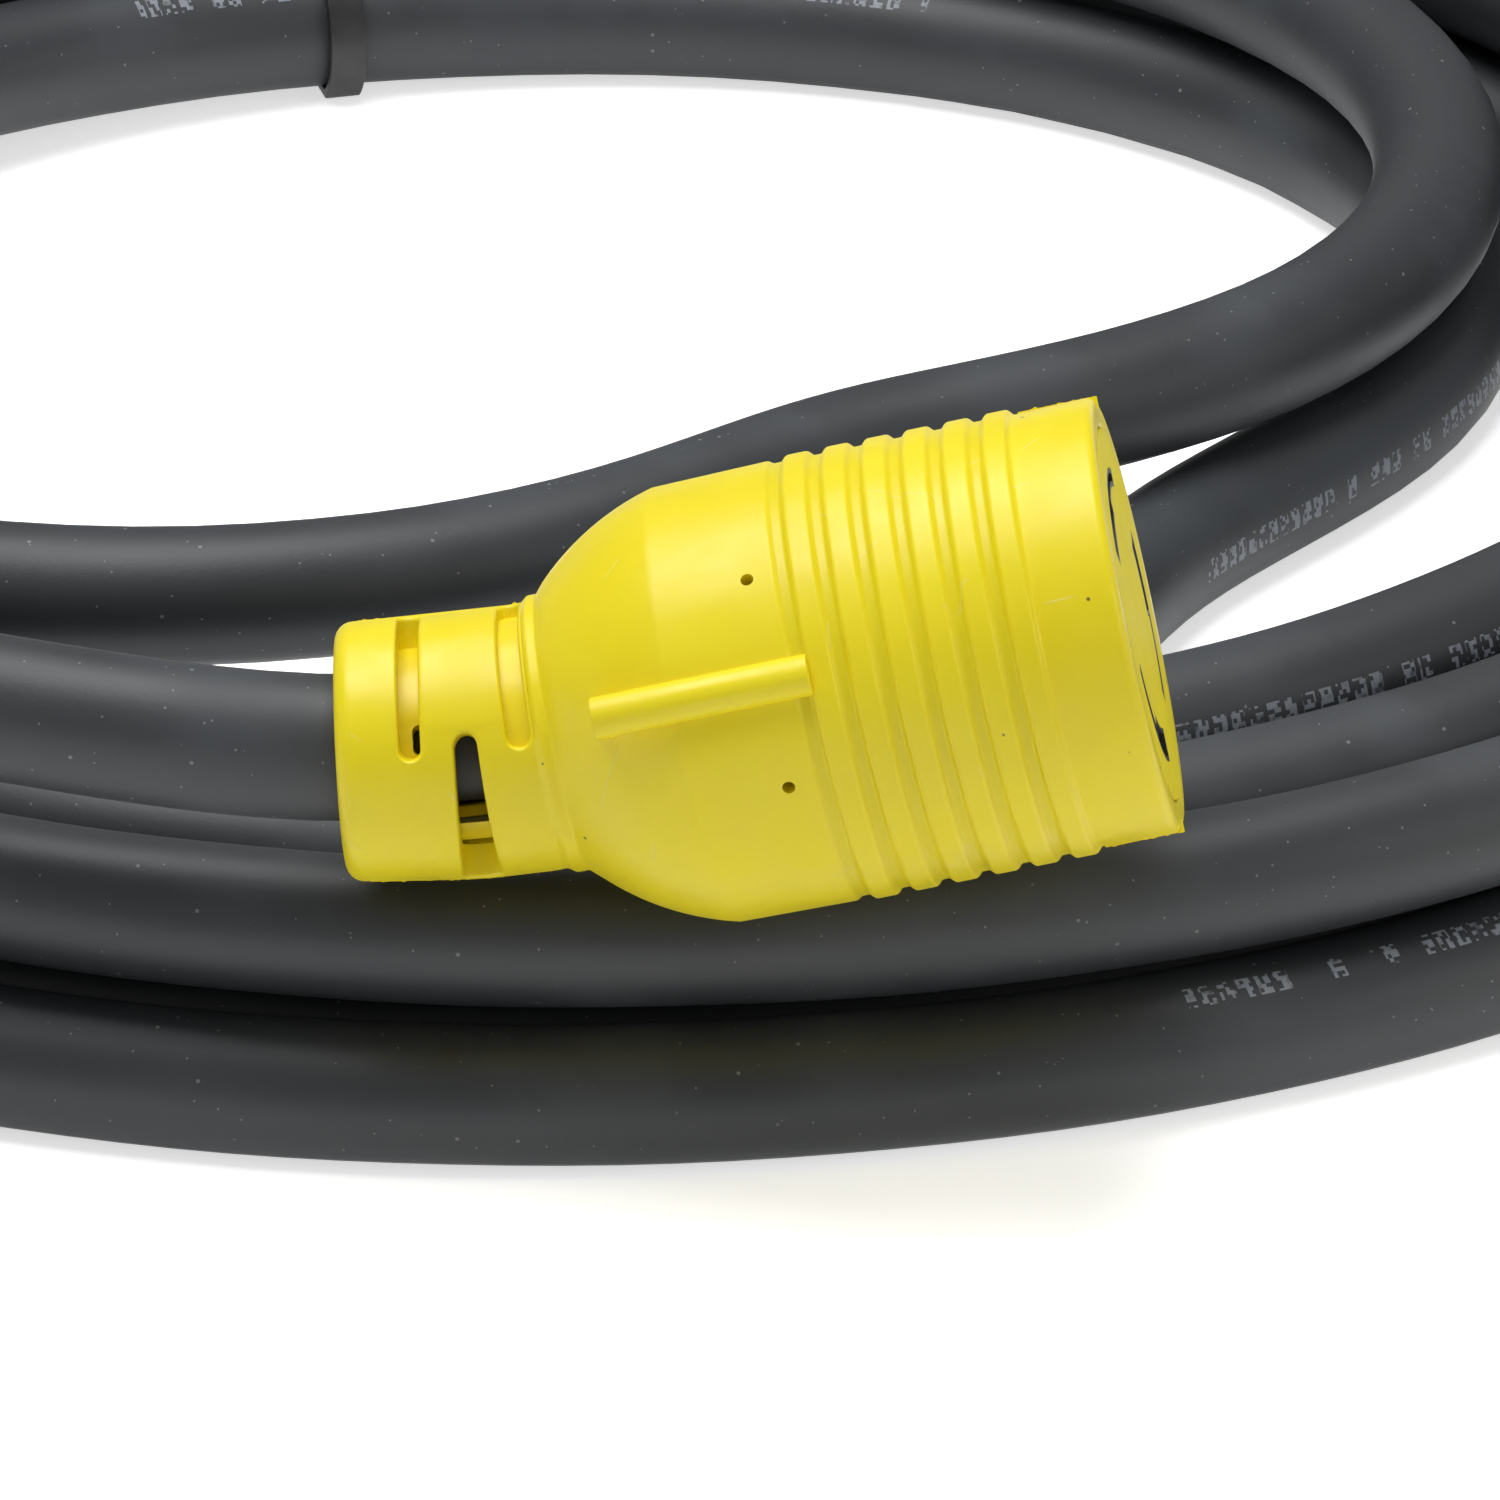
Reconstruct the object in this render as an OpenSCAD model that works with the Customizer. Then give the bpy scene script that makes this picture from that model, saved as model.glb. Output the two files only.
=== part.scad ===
// Shore power cord: a coiled three-core cable with a moulded locking
// connector on one end and a moulded plug on the other.
// Units are millimetres. +Z is up, the coil lies on z = 0 and the origin is
// under the middle of the whole cord's outline.

/* [Cable] */
// Outside diameter of the cable jacket
cable_d = 17; // [16:0.5:20.5]
// Thickness of the jacket wall
jacket_t = 2.6; // [2:0.1:2.9]
// Outside diameter of one insulated conductor
wire_d = 5.2; // [4.4:0.1:6.2]
// Diameter of the copper strand in a conductor
copper_d = 3; // [2.5:0.1:3.2]

/* [Coil] */
// Centre-line radius of the coil where the plug's lead joins it
coil_r = 208; // [170:1:250]
// Sideways gap between turns that lie beside each other
turn_gap = 0.7; // [0.5:0.1:3]
// Upward gap between the two layers of turns
layer_gap = 0.6; // [0.5:0.1:2]
// Turns of the lower layer, which spirals in
turns_in = 4.45; // [3.5:0.01:4.5]
// Turns from the start of the cable to the end of the upper layer
turns_all = 8.125; // [6.125:1:8.125]
// How far the innermost turn is drawn in on the loose side of the coil
loose_in = 193; // [0:1:230]
// Direction of the coil's tightly bunched side, in degrees from +X
bunch_angle = 141; // [110:1:170]
// How narrow the loose side is in the lower layer: higher is narrower
loose_sharp_low = 5.8; // [2:0.1:7]
// How narrow the loose side is in the upper layer
loose_sharp_high = 2.7; // [2:0.1:7]
// How much the innermost turns take all of the looseness: higher is more
loose_power = 9.6; // [8:0.1:12]

/* [Coil tie] */
// Direction in which the tie lies, in degrees from +X
tie_angle = 105; // [90:15:120]
// Width of the tie's band
tie_w = 4.8; // [3:0.2:8]
// Thickness of the tie's band
tie_t = 1.3; // [0.8:0.1:1.8]
// Side of the tie's square locking head
tie_head = 7; // [5:0.5:9]
// Length of the cut tail beyond the head
tie_tail = 8; // [3:1:10]

/* [Moulded body] */
// Length of the slotted neck
neck_len = 24; // [20:0.5:29]
// Diameter of the neck at the cable's end
neck_end_d = 30; // [28:0.5:34]
// Diameter of the neck where it meets the dome
neck_root_d = 32; // [30:0.5:36]
// Diameter of the low ring round the foot of the neck
neck_ring_d = 33.4; // [32:0.2:37]
// Length of the dome
dome_len = 14.5; // [13:0.5:18]
// Slope of the dome where it meets the barrel, in degrees
dome_end_slope = 14; // [5:1:20]
// Length of the plain barrel
barrel_len = 14; // [12:0.1:17]
// Diameter of the barrel
barrel_d = 51; // [48:0.5:61]
// Number of grip ribs
rib_count = 6; // [3:1:8]
// Distance from one rib to the next
rib_pitch = 4.7; // [4:0.1:5.6]
// Width of a rib
rib_w = 3; // [1.5:0.05:3.2]
// Depth of the grooves below the barrel's surface
groove_depth = 0.4; // [0.4:0.1:1.5]
// Height of the ribs above the barrel's surface
rib_proud = 0.5; // [0:0.1:1]
// Length of the plain collar at the open end
collar_len = 9.9; // [8:0.1:14]
// Radius of the rounded edge at the neck's end
neck_edge_r = 2.6; // [1:0.1:3]

/* [Key ridge] */
// Length of the key ridge along the body
ridge_len = 25.3; // [18:0.5:26]
// Width of the key ridge
ridge_w = 4.8; // [3:0.1:7]
// Height of the ridge above the barrel
ridge_h = 2.6; // [1.5:0.1:4]
// Diameter of the two vent holes beside the ridge
vent_d = 1.5; // [1:0.1:2.5]
// Angle from the ridge to each vent hole
vent_angle = 28; // [22:1:40]

/* [Neck slots] */
// Width of the slots through the neck
slot_w = 3.3; // [2.4:0.1:3.8]
// Distance between the middles of neighbouring slots
slot_pitch = 6.3; // [5:0.1:6.8]
// Distance from the neck's end to the middle of the first slot
slot_start = 6.7; // [5.5:0.1:7.5]
// Arc that each slot runs round the neck, in degrees
slot_arc = 92; // [60:1:110]
// Depth of the blind pocket nearest the dome
pocket_depth = 1.6; // [0.8:0.1:2.2]
// Thickness of the inner sleeve round the cable
sleeve_t = 2.3; // [1.5:0.1:2.6]
// Length of the flared mouth that lets the cable bend
bell_len = 8; // [4:0.5:12]
// How far the mouth flares on each side of the cable
bell_flare = 0.7; // [0.3:0.1:1.2]

/* [Receptacle] */
// Radius of the circle on which the curved slots lie
contact_r = 14; // [11.6:0.1:14.5]
// Arc of each curved slot, in degrees
contact_arc = 58; // [46:1:62]
// Width of a curved slot's narrow half
blade_slot_w = 2; // [1.8:0.1:2.4]
// Width of a curved slot's wide half
entry_slot_w = 3.4; // [2.8:0.1:3.8]
// Thickness of the face plate
face_t = 3.3; // [2.4:0.1:4.5]
// Width of the face plate's rim beyond the block that houses the contacts
face_rim = 2.7; // [1.6:0.1:2.8]
// Wall of the block that houses the contacts, outside their pockets
housing_wall = 2.2; // [1.8:0.1:2.4]
// Length of the block that houses the contacts
housing_len = 31.7; // [28:0.1:32]
// Wall thickness of the curved contacts
contact_t = 0.8; // [0.6:0.1:1]

/* [Plug] */
// Width of the flat blades
blade_w = 8.2; // [7:0.1:9]
// Thickness of the flat blades
blade_t = 1.8; // [1.5:0.1:2.2]
// Length of the blades beyond the plug's face
blade_len = 18; // [15:0.5:21]
// Angle between each flat blade and the plug's middle plane
blade_lean = 35; // [25:1:45]
// Distance of each flat blade's middle from the middle plane
blade_off = 7.9; // [7.5:0.1:9]
// Diameter of the round ground pin
ground_d = 4.76; // [4.5:0.02:5.2]
// Length of the ground pin beyond the plug's face
ground_len = 21; // [18:0.5:24]
// Distance of the ground pin from the plug's axis
ground_off = 9; // [8:0.1:10]
// Thickness of the insert that holds the blades
insert_t = 11; // [8:0.5:14]

/* [Hidden] */
$fn = 64;

fit = 0.3;             // gap between curved faces of neighbouring pieces
eps = 0.05;            // overshoot of a cut past a face
jacket_black = "#26272a";
body_yellow = "#f2e21c";
sleeve_yellow = "#e9d619";
face_yellow = "#f0e01a";
housing_dark = "#2b2b2e";
brass = "#c9a24a";
copper = "#b8693a";
tie_black = "#1b1b1d";
wire_black = "#202022";
wire_white = "#e9e9e6";
wire_green = "#1f8a3c";

cable_r = cable_d / 2;
rest_cut = 0.1 * cable_d;              // the lowest turns are cut flat by this much
low_z = cable_r - rest_cut;            // centre line of the lower layer
turn_pitch = cable_d + turn_gap;
layer_pitch = cable_d + layer_gap;
coil_centre = [-48.2, 4.5, 0];         // puts the origin under the whole outline

// The body along its own axis, from the cable's end
dome_s = neck_len;
barrel_s = dome_s + dome_len;
groove_w = rib_pitch - rib_w;
rib_s = barrel_s + barrel_len + groove_w;
collar_s = rib_s + (rib_count - 1) * rib_pitch + rib_w;
body_len = collar_s + collar_len;
barrel_r = barrel_d / 2;
neck_end_r = neck_end_d / 2;
neck_root_r = neck_root_d / 2;
neck_ring_w = 2.2;
groove_r = barrel_r - groove_depth;
rib_r = barrel_r + rib_proud;
rib_edge = 0.35;                       // chamfer that softens each rib
sleeve_in_r = cable_r + fit;
sleeve_out_r = sleeve_in_r + sleeve_t;
neck_bore_r = sleeve_out_r + fit;
mouth_len = 2;
sleeve_len = neck_len - mouth_len - 1;
jacket_len = neck_len + 10;            // jacket held inside the body
face_s = body_len - face_t;
housing_s = face_s - fit - housing_len;
wire_room_r = contact_r + wire_d / 2 + 0.8;
wire_room_s = jacket_len + 7;
ridge_s = rib_s + 0.2 - ridge_len;     // the ridge runs into the first rib
vent_s = barrel_s + barrel_len - 3.3;
vent_depth = 3;
slot_angles = [-slot_arc + 5, 1, -slot_arc + 8];

// The contacts and their barrels
barrel_out_r = wire_d / 2 + 0.1;
barrel_bore_r = copper_d / 2 + 0.3;
pocket_w = 2 * barrel_out_r + 0.2;
housing_r = contact_r + pocket_w / 2 + housing_wall;
face_r = housing_r + face_rim;
pocket_arc = contact_arc + 6;
pocket_s = housing_s + 7;
contact_gap = 2.4;
contact_back_s = pocket_s + 1;
contact_front_s = face_s - 2;
crimp_len = 7;
contact_angles = [180, -60, 60];       // ground, hot, neutral
wire_lay_r = wire_d / sqrt(3) + 0.5;   // distance of a conductor from the cable's axis
wire_bury = 12;                        // length of conductor inside the jacket end
wire_end_s = contact_back_s - crimp_len;
wire_bore_r = wire_d / 2 + fit;
strip_len = 6;

// The plug's own pieces
insert_r = face_r;
insert_s = body_len - insert_t;
blade_back = 6;                        // blade behind the insert
plug_wire_end_s = insert_s - blade_back - crimp_len;
shank_d = ground_d - 0.6;
plug_spots = [                         // position of each blade's middle on the face
    [ground_off, 0], [-3, blade_off], [-3, -blade_off]
];
function spot_angle(i) = atan2(plug_spots[i][1], plug_spots[i][0]);

// Where the two mouldings lie: the middle of each cable mouth
coil_top = low_z + layer_pitch + cable_r;
connector_pos = coil_centre + [-21.9, -194.5, coil_top + barrel_r - 9.8];
connector_tilt = 12.8;
connector_yaw = -0.2;
connector_roll = -116;
plug_pos = coil_centre + [235, -121, rib_r + 0.1];
plug_tilt = 0;
plug_yaw = -60;
plug_roll = 0;

// Free stretch from the end of the coil, up and round on top of the turns, as
// [angle, radius, height]
over_stops = [
    [60, 195, 30], [75, 190, 38.5], [90, 183, 42], [105, 178.5, 42], [120, 177.5, 42],
    [135, 177.5, 41.8], [150, 178, 41.8], [165, 178.5, 41.8], [180, 179.5, 41.8],
    [195, 183, 42], [210, 188, 42.3]
];
// ... and on to the connector, as [x, y, z] from the coil's centre
rise_points = [
    [-151, -118, 43], [-117, -157.5, 48], [-80, -181.3, 51.2], [-52, -191, 49.2],
    [-37, -193.9, 47.4]
];
// Free stretch from the start of the coil to the plug
plug_points = [[210.4, -48, 9.2], [214.6, -72, 16], [222.6, -96, 22.8]];

function unit(v) = v / norm(v);
function along(pos, yaw, tilt, s) =
    pos + s * [cos(tilt) * cos(yaw), cos(tilt) * sin(yaw), sin(tilt)];

// Distance from the start of the coil, in turns, to place and height
function coil_inward(t) = t <= turns_in ? t : 2 * turns_in - t;
function ease(x) = let (c = min(1, max(0, x))) c * c * (3 - 2 * c);
function coil_climb(t) = ease((t - turns_in + 0.25) / 0.5);
function coil_loose(t) =
    let (sharp = loose_sharp_low + (loose_sharp_high - loose_sharp_low) * coil_climb(t))
    pow((1 - cos(360 * t - bunch_angle)) / 2, sharp)
    * pow(max(0, coil_inward(t)) / turns_in, loose_power);
function coil_radius(t) = coil_r - turn_pitch * coil_inward(t) - loose_in * coil_loose(t);
function coil_z(t) = low_z + layer_pitch * coil_climb(t);
function coil_point(t) = coil_centre
    + [coil_radius(t) * cos(360 * t), coil_radius(t) * sin(360 * t), coil_z(t)];
coil_rings = 24;                       // rings in one turn
coil_steps = round(turns_all * coil_rings);
function coil_heading(t) = unit(coil_point(t + 0.01) - coil_point(t - 0.01));
coil_start = coil_point(0) - cable_d * coil_heading(0);
coil_end = coil_point(turns_all) + cable_d * coil_heading(turns_all);
coil_turns = [for (i = [0 : coil_steps]) coil_point(i / coil_rings)];
coil_path = concat([coil_start], coil_turns, [coil_end]);
lead_run = 6;                          // straight start of each lead
function in_coil(a, r, z) = coil_centre + [r * cos(a), r * sin(a), z];
connector_path = concat(
    [coil_end, coil_end + lead_run * coil_heading(turns_all)],
    [for (p = over_stops) in_coil(p[0], p[1], p[2])],
    [for (p = rise_points) coil_centre + p],
    [for (s = [-5, 2, bell_len]) along(connector_pos, connector_yaw, connector_tilt, s)]
);
plug_path = concat(
    [coil_start, coil_start - lead_run * coil_heading(0)],
    [for (p = plug_points) coil_centre + p],
    [for (s = [-12, bell_len]) along(plug_pos, plug_yaw, plug_tilt, s)]
);

// Least gap of the coil to itself, measured from each ring to each stretch of
// cable that is more than half a turn away
function to_stretch(p, a, b) =
    let (ab = b - a, k = min(1, max(0, (p - a) * ab / (ab * ab)))) norm(p - a - k * ab);
coil_gap = min([for (i = [0 : coil_steps]) for (j = [i + coil_rings / 2 : coil_steps - 1])
    to_stretch(coil_turns[i], coil_turns[j], coil_turns[j + 1])]) - cable_d;
echo(least_gap_of_coil_to_itself_mm = coil_gap);
function path_length(p) = len(p) < 2 ? 0
    : [for (i = [1 : len(p) - 1]) norm(p[i] - p[i - 1])] * [for (i = [1 : len(p) - 1]) 1];
cord_length = path_length(coil_path) + path_length(connector_path)
    + path_length(plug_path) + 2 * (jacket_len - bell_len);
echo(length_of_cable_mm = cord_length);

// One unbroken tube of `sides` sides along a path, its end faces square to it
module tube(path, r, sides, turn = 0) {
    last = len(path) - 1;
    function heading(i) = i == 0 ? unit(path[1] - path[0])
        : i == last ? unit(path[last] - path[last - 1])
        : unit(unit(path[i] - path[i - 1]) + unit(path[i + 1] - path[i]));
    rings = [for (i = [0 : last])
        let (t = heading(i), side = unit(cross(t, [0, 0, 1])), up = cross(side, t))
        for (k = [0 : sides - 1])
            let (a = 360 * k / sides + turn) path[i] + r * (cos(a) * side + sin(a) * up)];
    walls = [for (i = [0 : last - 1]) for (k = [0 : sides - 1])
        let (a = i * sides + k, b = i * sides + (k + 1) % sides)
            each [[a, a + sides, b], [b, a + sides, b + sides]]];
    caps = [for (k = [1 : sides - 2])
        each [[0, k, k + 1], [last * sides, last * sides + k + 1, last * sides + k]]];
    polyhedron(points = rings, faces = concat(walls, caps), convexity = 20);
}

// Everything above the surface that the cord lies on
module above_floor() {
    span = 4 * coil_r;
    intersection() {
        children();
        translate([-span / 2, -span / 2, 0]) cube([span, span, span]);
    }
}

// Curved bar: an arc of radius r, wall w and height h about the axis
module arc_bar(r, w, a0, a1, h) {
    rotate([0, 0, a0])
        rotate_extrude(angle = a1 - a0) translate([r - w / 2, 0]) square([w, h]);
}

// ---- places of the two mouldings -------------------------------------------

module at_connector() {
    translate(connector_pos) rotate([0, 90 - connector_tilt, connector_yaw])
        rotate([0, 0, connector_roll]) children();
}

module at_plug() {
    translate(plug_pos) rotate([0, 90 - plug_tilt, plug_yaw])
        rotate([0, 0, plug_roll]) children();
}

// ---- shapes that both mouldings share -----------------------------------------

// Outline of the dome: one arc from the neck to the barrel's edge
function dome_outline() =
    let (
        chord = atan2(barrel_r - neck_root_r, dome_len),
        start = 2 * chord - dome_end_slope,
        arc_r = norm([dome_len, barrel_r - neck_root_r])
            / (2 * sin((start - dome_end_slope) / 2)),
        c_s = dome_s + arc_r * sin(start),
        c_r = neck_root_r - arc_r * cos(start),
        steps = 12
    )
    [for (i = [0 : steps])
        let (a = start + (dome_end_slope - start) * i / steps)
            [c_r + arc_r * cos(a), c_s - arc_r * sin(a)]];

function neck_outline() = concat(
    [[0, 0], [neck_end_r - neck_edge_r, 0]],
    [for (i = [1 : 6]) let (a = -90 + 90 * i / 6)
        [neck_end_r - neck_edge_r + neck_edge_r * cos(a),
         neck_edge_r + neck_edge_r * sin(a)]],
    [[neck_root_r, dome_s - neck_ring_w - 0.4],
     [neck_ring_d / 2, dome_s - neck_ring_w],
     [neck_ring_d / 2, dome_s - 0.4]]
);

function ribs_outline() = [for (i = [0 : rib_count - 1])
    let (s = rib_s + i * rib_pitch)
        each [[groove_r, s], [rib_r - rib_edge, s], [rib_r, s + rib_edge],
              [rib_r, s + rib_w - rib_edge], [rib_r - rib_edge, s + rib_w],
              [i == rib_count - 1 ? barrel_r : groove_r, s + rib_w]]];

function body_outline() = concat(
    neck_outline(),
    dome_outline(),
    [[barrel_r, barrel_s + barrel_len], [groove_r, barrel_s + barrel_len]],
    ribs_outline(),
    [[barrel_r, body_len - 0.3], [barrel_r + 0.2, body_len], [0, body_len]]
);

// A slot that runs part of the way round the neck, round at both ends
module neck_slot(s, a0, arc, floor_r) {
    depth = neck_root_r + 2 - floor_r;
    end = asin(slot_w / 2 / neck_root_r);
    side = slot_w - 0.1;
    translate([0, 0, s - side / 2])
        arc_bar(floor_r + depth / 2, depth, a0 + end, a0 + arc - end, side);
    for (a = [a0 + end, a0 + arc - end])
        rotate([0, 0, a]) translate([floor_r - 0.15, 0, s])
            rotate([0, 90, 0]) cylinder(d = slot_w, h = depth + 0.3);
}

module neck_slots() {
    for (i = [0 : 2]) for (half = [0, 180])
        neck_slot(slot_start + i * slot_pitch, slot_angles[i] + half, slot_arc,
            i == 2 ? neck_root_r - pocket_depth : neck_bore_r - 0.5);
}

// Flared mouth round the cable
module bell() {
    slope = bell_flare / bell_len;
    translate([0, 0, -1])
        cylinder(r1 = sleeve_in_r + bell_flare + slope, r2 = sleeve_in_r, h = bell_len + 1);
}

// Yellow outer moulding: slotted neck, dome, barrel, ribs and collar in one
module moulding() {
    difference() {
        rotate_extrude() polygon(body_outline());
        neck_slots();
        bell();
        translate([0, 0, mouth_len]) cylinder(r = neck_bore_r, h = sleeve_len + 0.6);
        translate([0, 0, mouth_len]) cylinder(r = sleeve_in_r, h = jacket_len);
        translate([0, 0, jacket_len - 0.5])
            cylinder(r1 = sleeve_in_r, r2 = wire_room_r, h = wire_room_s - jacket_len + 0.5);
        children();
    }
}

// Sleeve between cable and neck, open behind the middle slot
module sleeve() {
    difference() {
        translate([0, 0, mouth_len + fit]) cylinder(r = sleeve_out_r, h = sleeve_len);
        cylinder(r = sleeve_in_r, h = neck_len);
        bell();
        for (half = [0, 180])
            translate([0, 0, slot_start + slot_pitch - slot_w / 2 + 0.3])
                arc_bar(sleeve_in_r + sleeve_t / 2, sleeve_t + 1,
                    slot_angles[1] + half - 6, slot_angles[1] + half + slot_arc * 0.55,
                    slot_w - 0.6);
    }
}

// End of the cable's jacket, with a bore for each conductor
module jacket_end(angles) {
    difference() {
        translate([0, 0, bell_len]) cylinder(r = cable_r, h = jacket_len - bell_len);
        for (a = angles)
            rotate([0, 0, a]) translate([wire_lay_r, 0, jacket_len - wire_bury - fit])
                cylinder(d = wire_d + 0.3, h = wire_bury + 1);
    }
}

// One bent conductor: it leaves the jacket end in direction a, spreads to radius r
// and runs on to s, where a bore holds the stripped strand
module wire(a, r, s) {
    rotate([0, 0, a]) difference() {
        union() {
            translate([wire_lay_r, 0, jacket_len - wire_bury])
                cylinder(d = wire_d, h = wire_bury + 1.5);
            translate([wire_lay_r, 0, jacket_len + 1.5]) sphere(d = wire_d + 0.1);
            rod([wire_lay_r, 0, jacket_len + 1.5], [r, 0, jacket_len + 13], wire_d / 2);
            translate([r, 0, jacket_len + 13]) sphere(d = wire_d + 0.1);
            translate([r, 0, jacket_len + 13]) cylinder(d = wire_d, h = s - jacket_len - 13);
        }
        translate([r, 0, s - strip_len]) cylinder(r = barrel_bore_r, h = strip_len + 1);
    }
}

module rod(a, b, r) {
    v = b - a;
    translate(a) rotate([0, atan2(norm([v[0], v[1]]), v[2]), atan2(v[1], v[0])])
        cylinder(r = r, h = norm(v));
}

// ---- connector ------------------------------------------------------------------

module key_ridge() {
    top = barrel_r + ridge_h;
    translate([0, 0, ridge_s]) {
        translate([wire_room_r + 1, -ridge_w / 2, 0])
            cube([top - ridge_w / 2 - wire_room_r - 1, ridge_w, ridge_len]);
        translate([top - ridge_w / 2, 0, 0]) cylinder(d = ridge_w, h = ridge_len);
    }
}

module connector_body() {
    color(body_yellow) at_connector() difference() {
        union() {
            moulding();
            key_ridge();
        }
        translate([0, 0, wire_room_s - eps])
            cylinder(r = wire_room_r, h = housing_s - wire_room_s + 2 * eps);
        translate([0, 0, housing_s - fit])
            cylinder(r = housing_r + fit, h = housing_len + 2 * fit);
        translate([0, 0, face_s]) cylinder(r = face_r + fit, h = face_t + 1);
        for (a = [-vent_angle, vent_angle])
            rotate([0, 0, a]) translate([barrel_r - vent_depth, 0, vent_s])
                rotate([0, 90, 0]) cylinder(d = vent_d, h = vent_depth + 2);
    }
}

module connector_sleeve() {
    color(sleeve_yellow) at_connector() sleeve();
}

module connector_jacket_end() {
    color(jacket_black) at_connector() jacket_end(contact_angles);
}

// Curved slot with a narrow locking half and a wide entry half
module curved_slot(a, h) {
    half = contact_arc / 2;
    arc_bar(contact_r, blade_slot_w, a - half, a + 1, h);
    arc_bar(contact_r + (blade_slot_w - entry_slot_w) / 2 + 0.05, entry_slot_w, a, a + half, h);
}

module contact_housing() {
    color(housing_dark) at_connector() difference() {
        translate([0, 0, housing_s]) cylinder(r = housing_r, h = housing_len);
        for (a = contact_angles) {
            translate([0, 0, pocket_s])
                arc_bar(contact_r, pocket_w, a - pocket_arc / 2, a + pocket_arc / 2,
                    housing_len);
            rotate([0, 0, a]) translate([contact_r, 0, housing_s - 1])
                cylinder(r = barrel_out_r + fit, h = pocket_s - housing_s + 2);
        }
    }
}

module connector_face() {
    color(face_yellow) at_connector() difference() {
        translate([0, 0, face_s]) cylinder(r = face_r, h = face_t);
        for (a = contact_angles)
            translate([0, 0, face_s - 1]) curved_slot(a, face_t + 2);
    }
}

// Two curved leaves joined by a web, with a crimp barrel behind
module contact(a) {
    half = contact_arc / 2 - 2;
    color(brass) at_connector() difference() {
        union() {
            for (side = [-1, 1])
                translate([0, 0, contact_back_s])
                    arc_bar(contact_r + side * (contact_gap + contact_t) / 2, contact_t,
                        a - half, a + half, contact_front_s - contact_back_s);
            translate([0, 0, contact_back_s])
                arc_bar(contact_r, contact_gap + 2 * contact_t, a - half, a + half, 1.6);
            rotate([0, 0, a]) translate([contact_r, 0, contact_back_s - crimp_len])
                cylinder(r = barrel_out_r, h = crimp_len + 0.5);
        }
        rotate([0, 0, a]) translate([contact_r, 0, contact_back_s - crimp_len - 1])
            cylinder(r = barrel_bore_r, h = crimp_len);
    }
}

module contact_ground() { contact(contact_angles[0]); }
module contact_hot() { contact(contact_angles[1]); }
module contact_neutral() { contact(contact_angles[2]); }

module connector_wire(a) {
    at_connector() wire(a, contact_r, wire_end_s - fit);
}

module connector_wire_green() { color(wire_green) connector_wire(contact_angles[0]); }
module connector_wire_black() { color(wire_black) connector_wire(contact_angles[1]); }
module connector_wire_white() { color(wire_white) connector_wire(contact_angles[2]); }

module connector_conductors() {
    color(copper) at_connector() for (a = contact_angles)
        rotate([0, 0, a]) translate([contact_r, 0, wire_end_s - fit - strip_len + 0.3])
            cylinder(d = copper_d, h = strip_len + crimp_len - 1);
}

// ---- cable ------------------------------------------------------------------------

module connector_lead() {
    color(jacket_black) tube(connector_path, cable_r, 10);
}

module plug_lead() {
    color(jacket_black) above_floor() tube(plug_path, cable_r, 10);
}

module cable_coil() {
    color(jacket_black) difference() {
        above_floor() tube(coil_path, cable_r, 6, 30);
        at_tie() translate([0, -tie_t, -tie_w / 2 - 0.4])
            cube([coil_r + 2 * turn_pitch, 2 * tie_t + 0.2, tie_w + 0.8]);
    }
}

// ---- coil tie ------------------------------------------------------------------------

// Upright plane across the bundle: x runs outward from the coil's centre, y upward
module at_tie() {
    translate(coil_centre) rotate([90, 0, tie_angle]) children();
}

// Places where the cable crosses that plane, as [distance out, height]
tie_first = [coil_radius(tie_angle / 360), coil_z(tie_angle / 360)];
tie_last = [
    lookup(tie_angle, [for (p = over_stops) [p[0], p[1]]]),
    lookup(tie_angle, [for (p = over_stops) [p[0], p[2]]])
];
tie_crossings = concat(
    [for (k = [0 : floor(turns_all - tie_angle / 360)])
        let (t = k + tie_angle / 360) [coil_radius(t), coil_z(t)]],
    [tie_last]
);

module bundle_outline(grow) {
    hull() for (c = tie_crossings) translate(c) circle(r = cable_r + grow);
}

// Band round all the turns and the lead, with its head on the outer slope
module coil_tie() {
    clear = 0.6;
    slope = atan2(tie_last[1] - tie_first[1], tie_last[0] - tie_first[0]);
    head_t = 4.2;
    color(tie_black) at_tie() {
        translate([0, 0, -tie_w / 2]) linear_extrude(tie_w) difference() {
            intersection() {
                bundle_outline(clear + tie_t);
                square([2 * coil_r, 2 * coil_r]);
            }
            intersection() {
                bundle_outline(clear);
                translate([0, tie_t]) square([2 * coil_r, 2 * coil_r]);
            }
        }
        translate((tie_first + tie_last) / 2) rotate([0, 0, slope - 90])
            translate([cable_r + clear + 0.2, -tie_head / 2, -tie_w / 2 - 1.2]) {
                cube([head_t + 0.8, tie_head, tie_w + 2.4]);
                translate([head_t - 0.9, tie_head - 1, 1.4])
                    cube([tie_t, tie_tail + 1, tie_w - 0.4]);
            }
    }
}

// ---- plug -----------------------------------------------------------------------------

module plug_body() {
    color(body_yellow) at_plug() difference() {
        moulding();
        translate([0, 0, wire_room_s - eps])
            cylinder(r = wire_room_r, h = insert_s - wire_room_s + 2 * eps);
        translate([0, 0, insert_s]) cylinder(r = insert_r + fit, h = insert_t + 1);
    }
}

module plug_sleeve() {
    color(sleeve_yellow) at_plug() sleeve();
}

module plug_jacket_end() {
    color(jacket_black) at_plug() jacket_end([for (i = [0 : 2]) spot_angle(i)]);
}

// Turns to a flat blade's own place and lean
module at_blade(i) {
    side = sign(plug_spots[i][1]);
    translate([plug_spots[i][0], plug_spots[i][1], 0])
        rotate([0, 0, side * blade_lean]) children();
}

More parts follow.
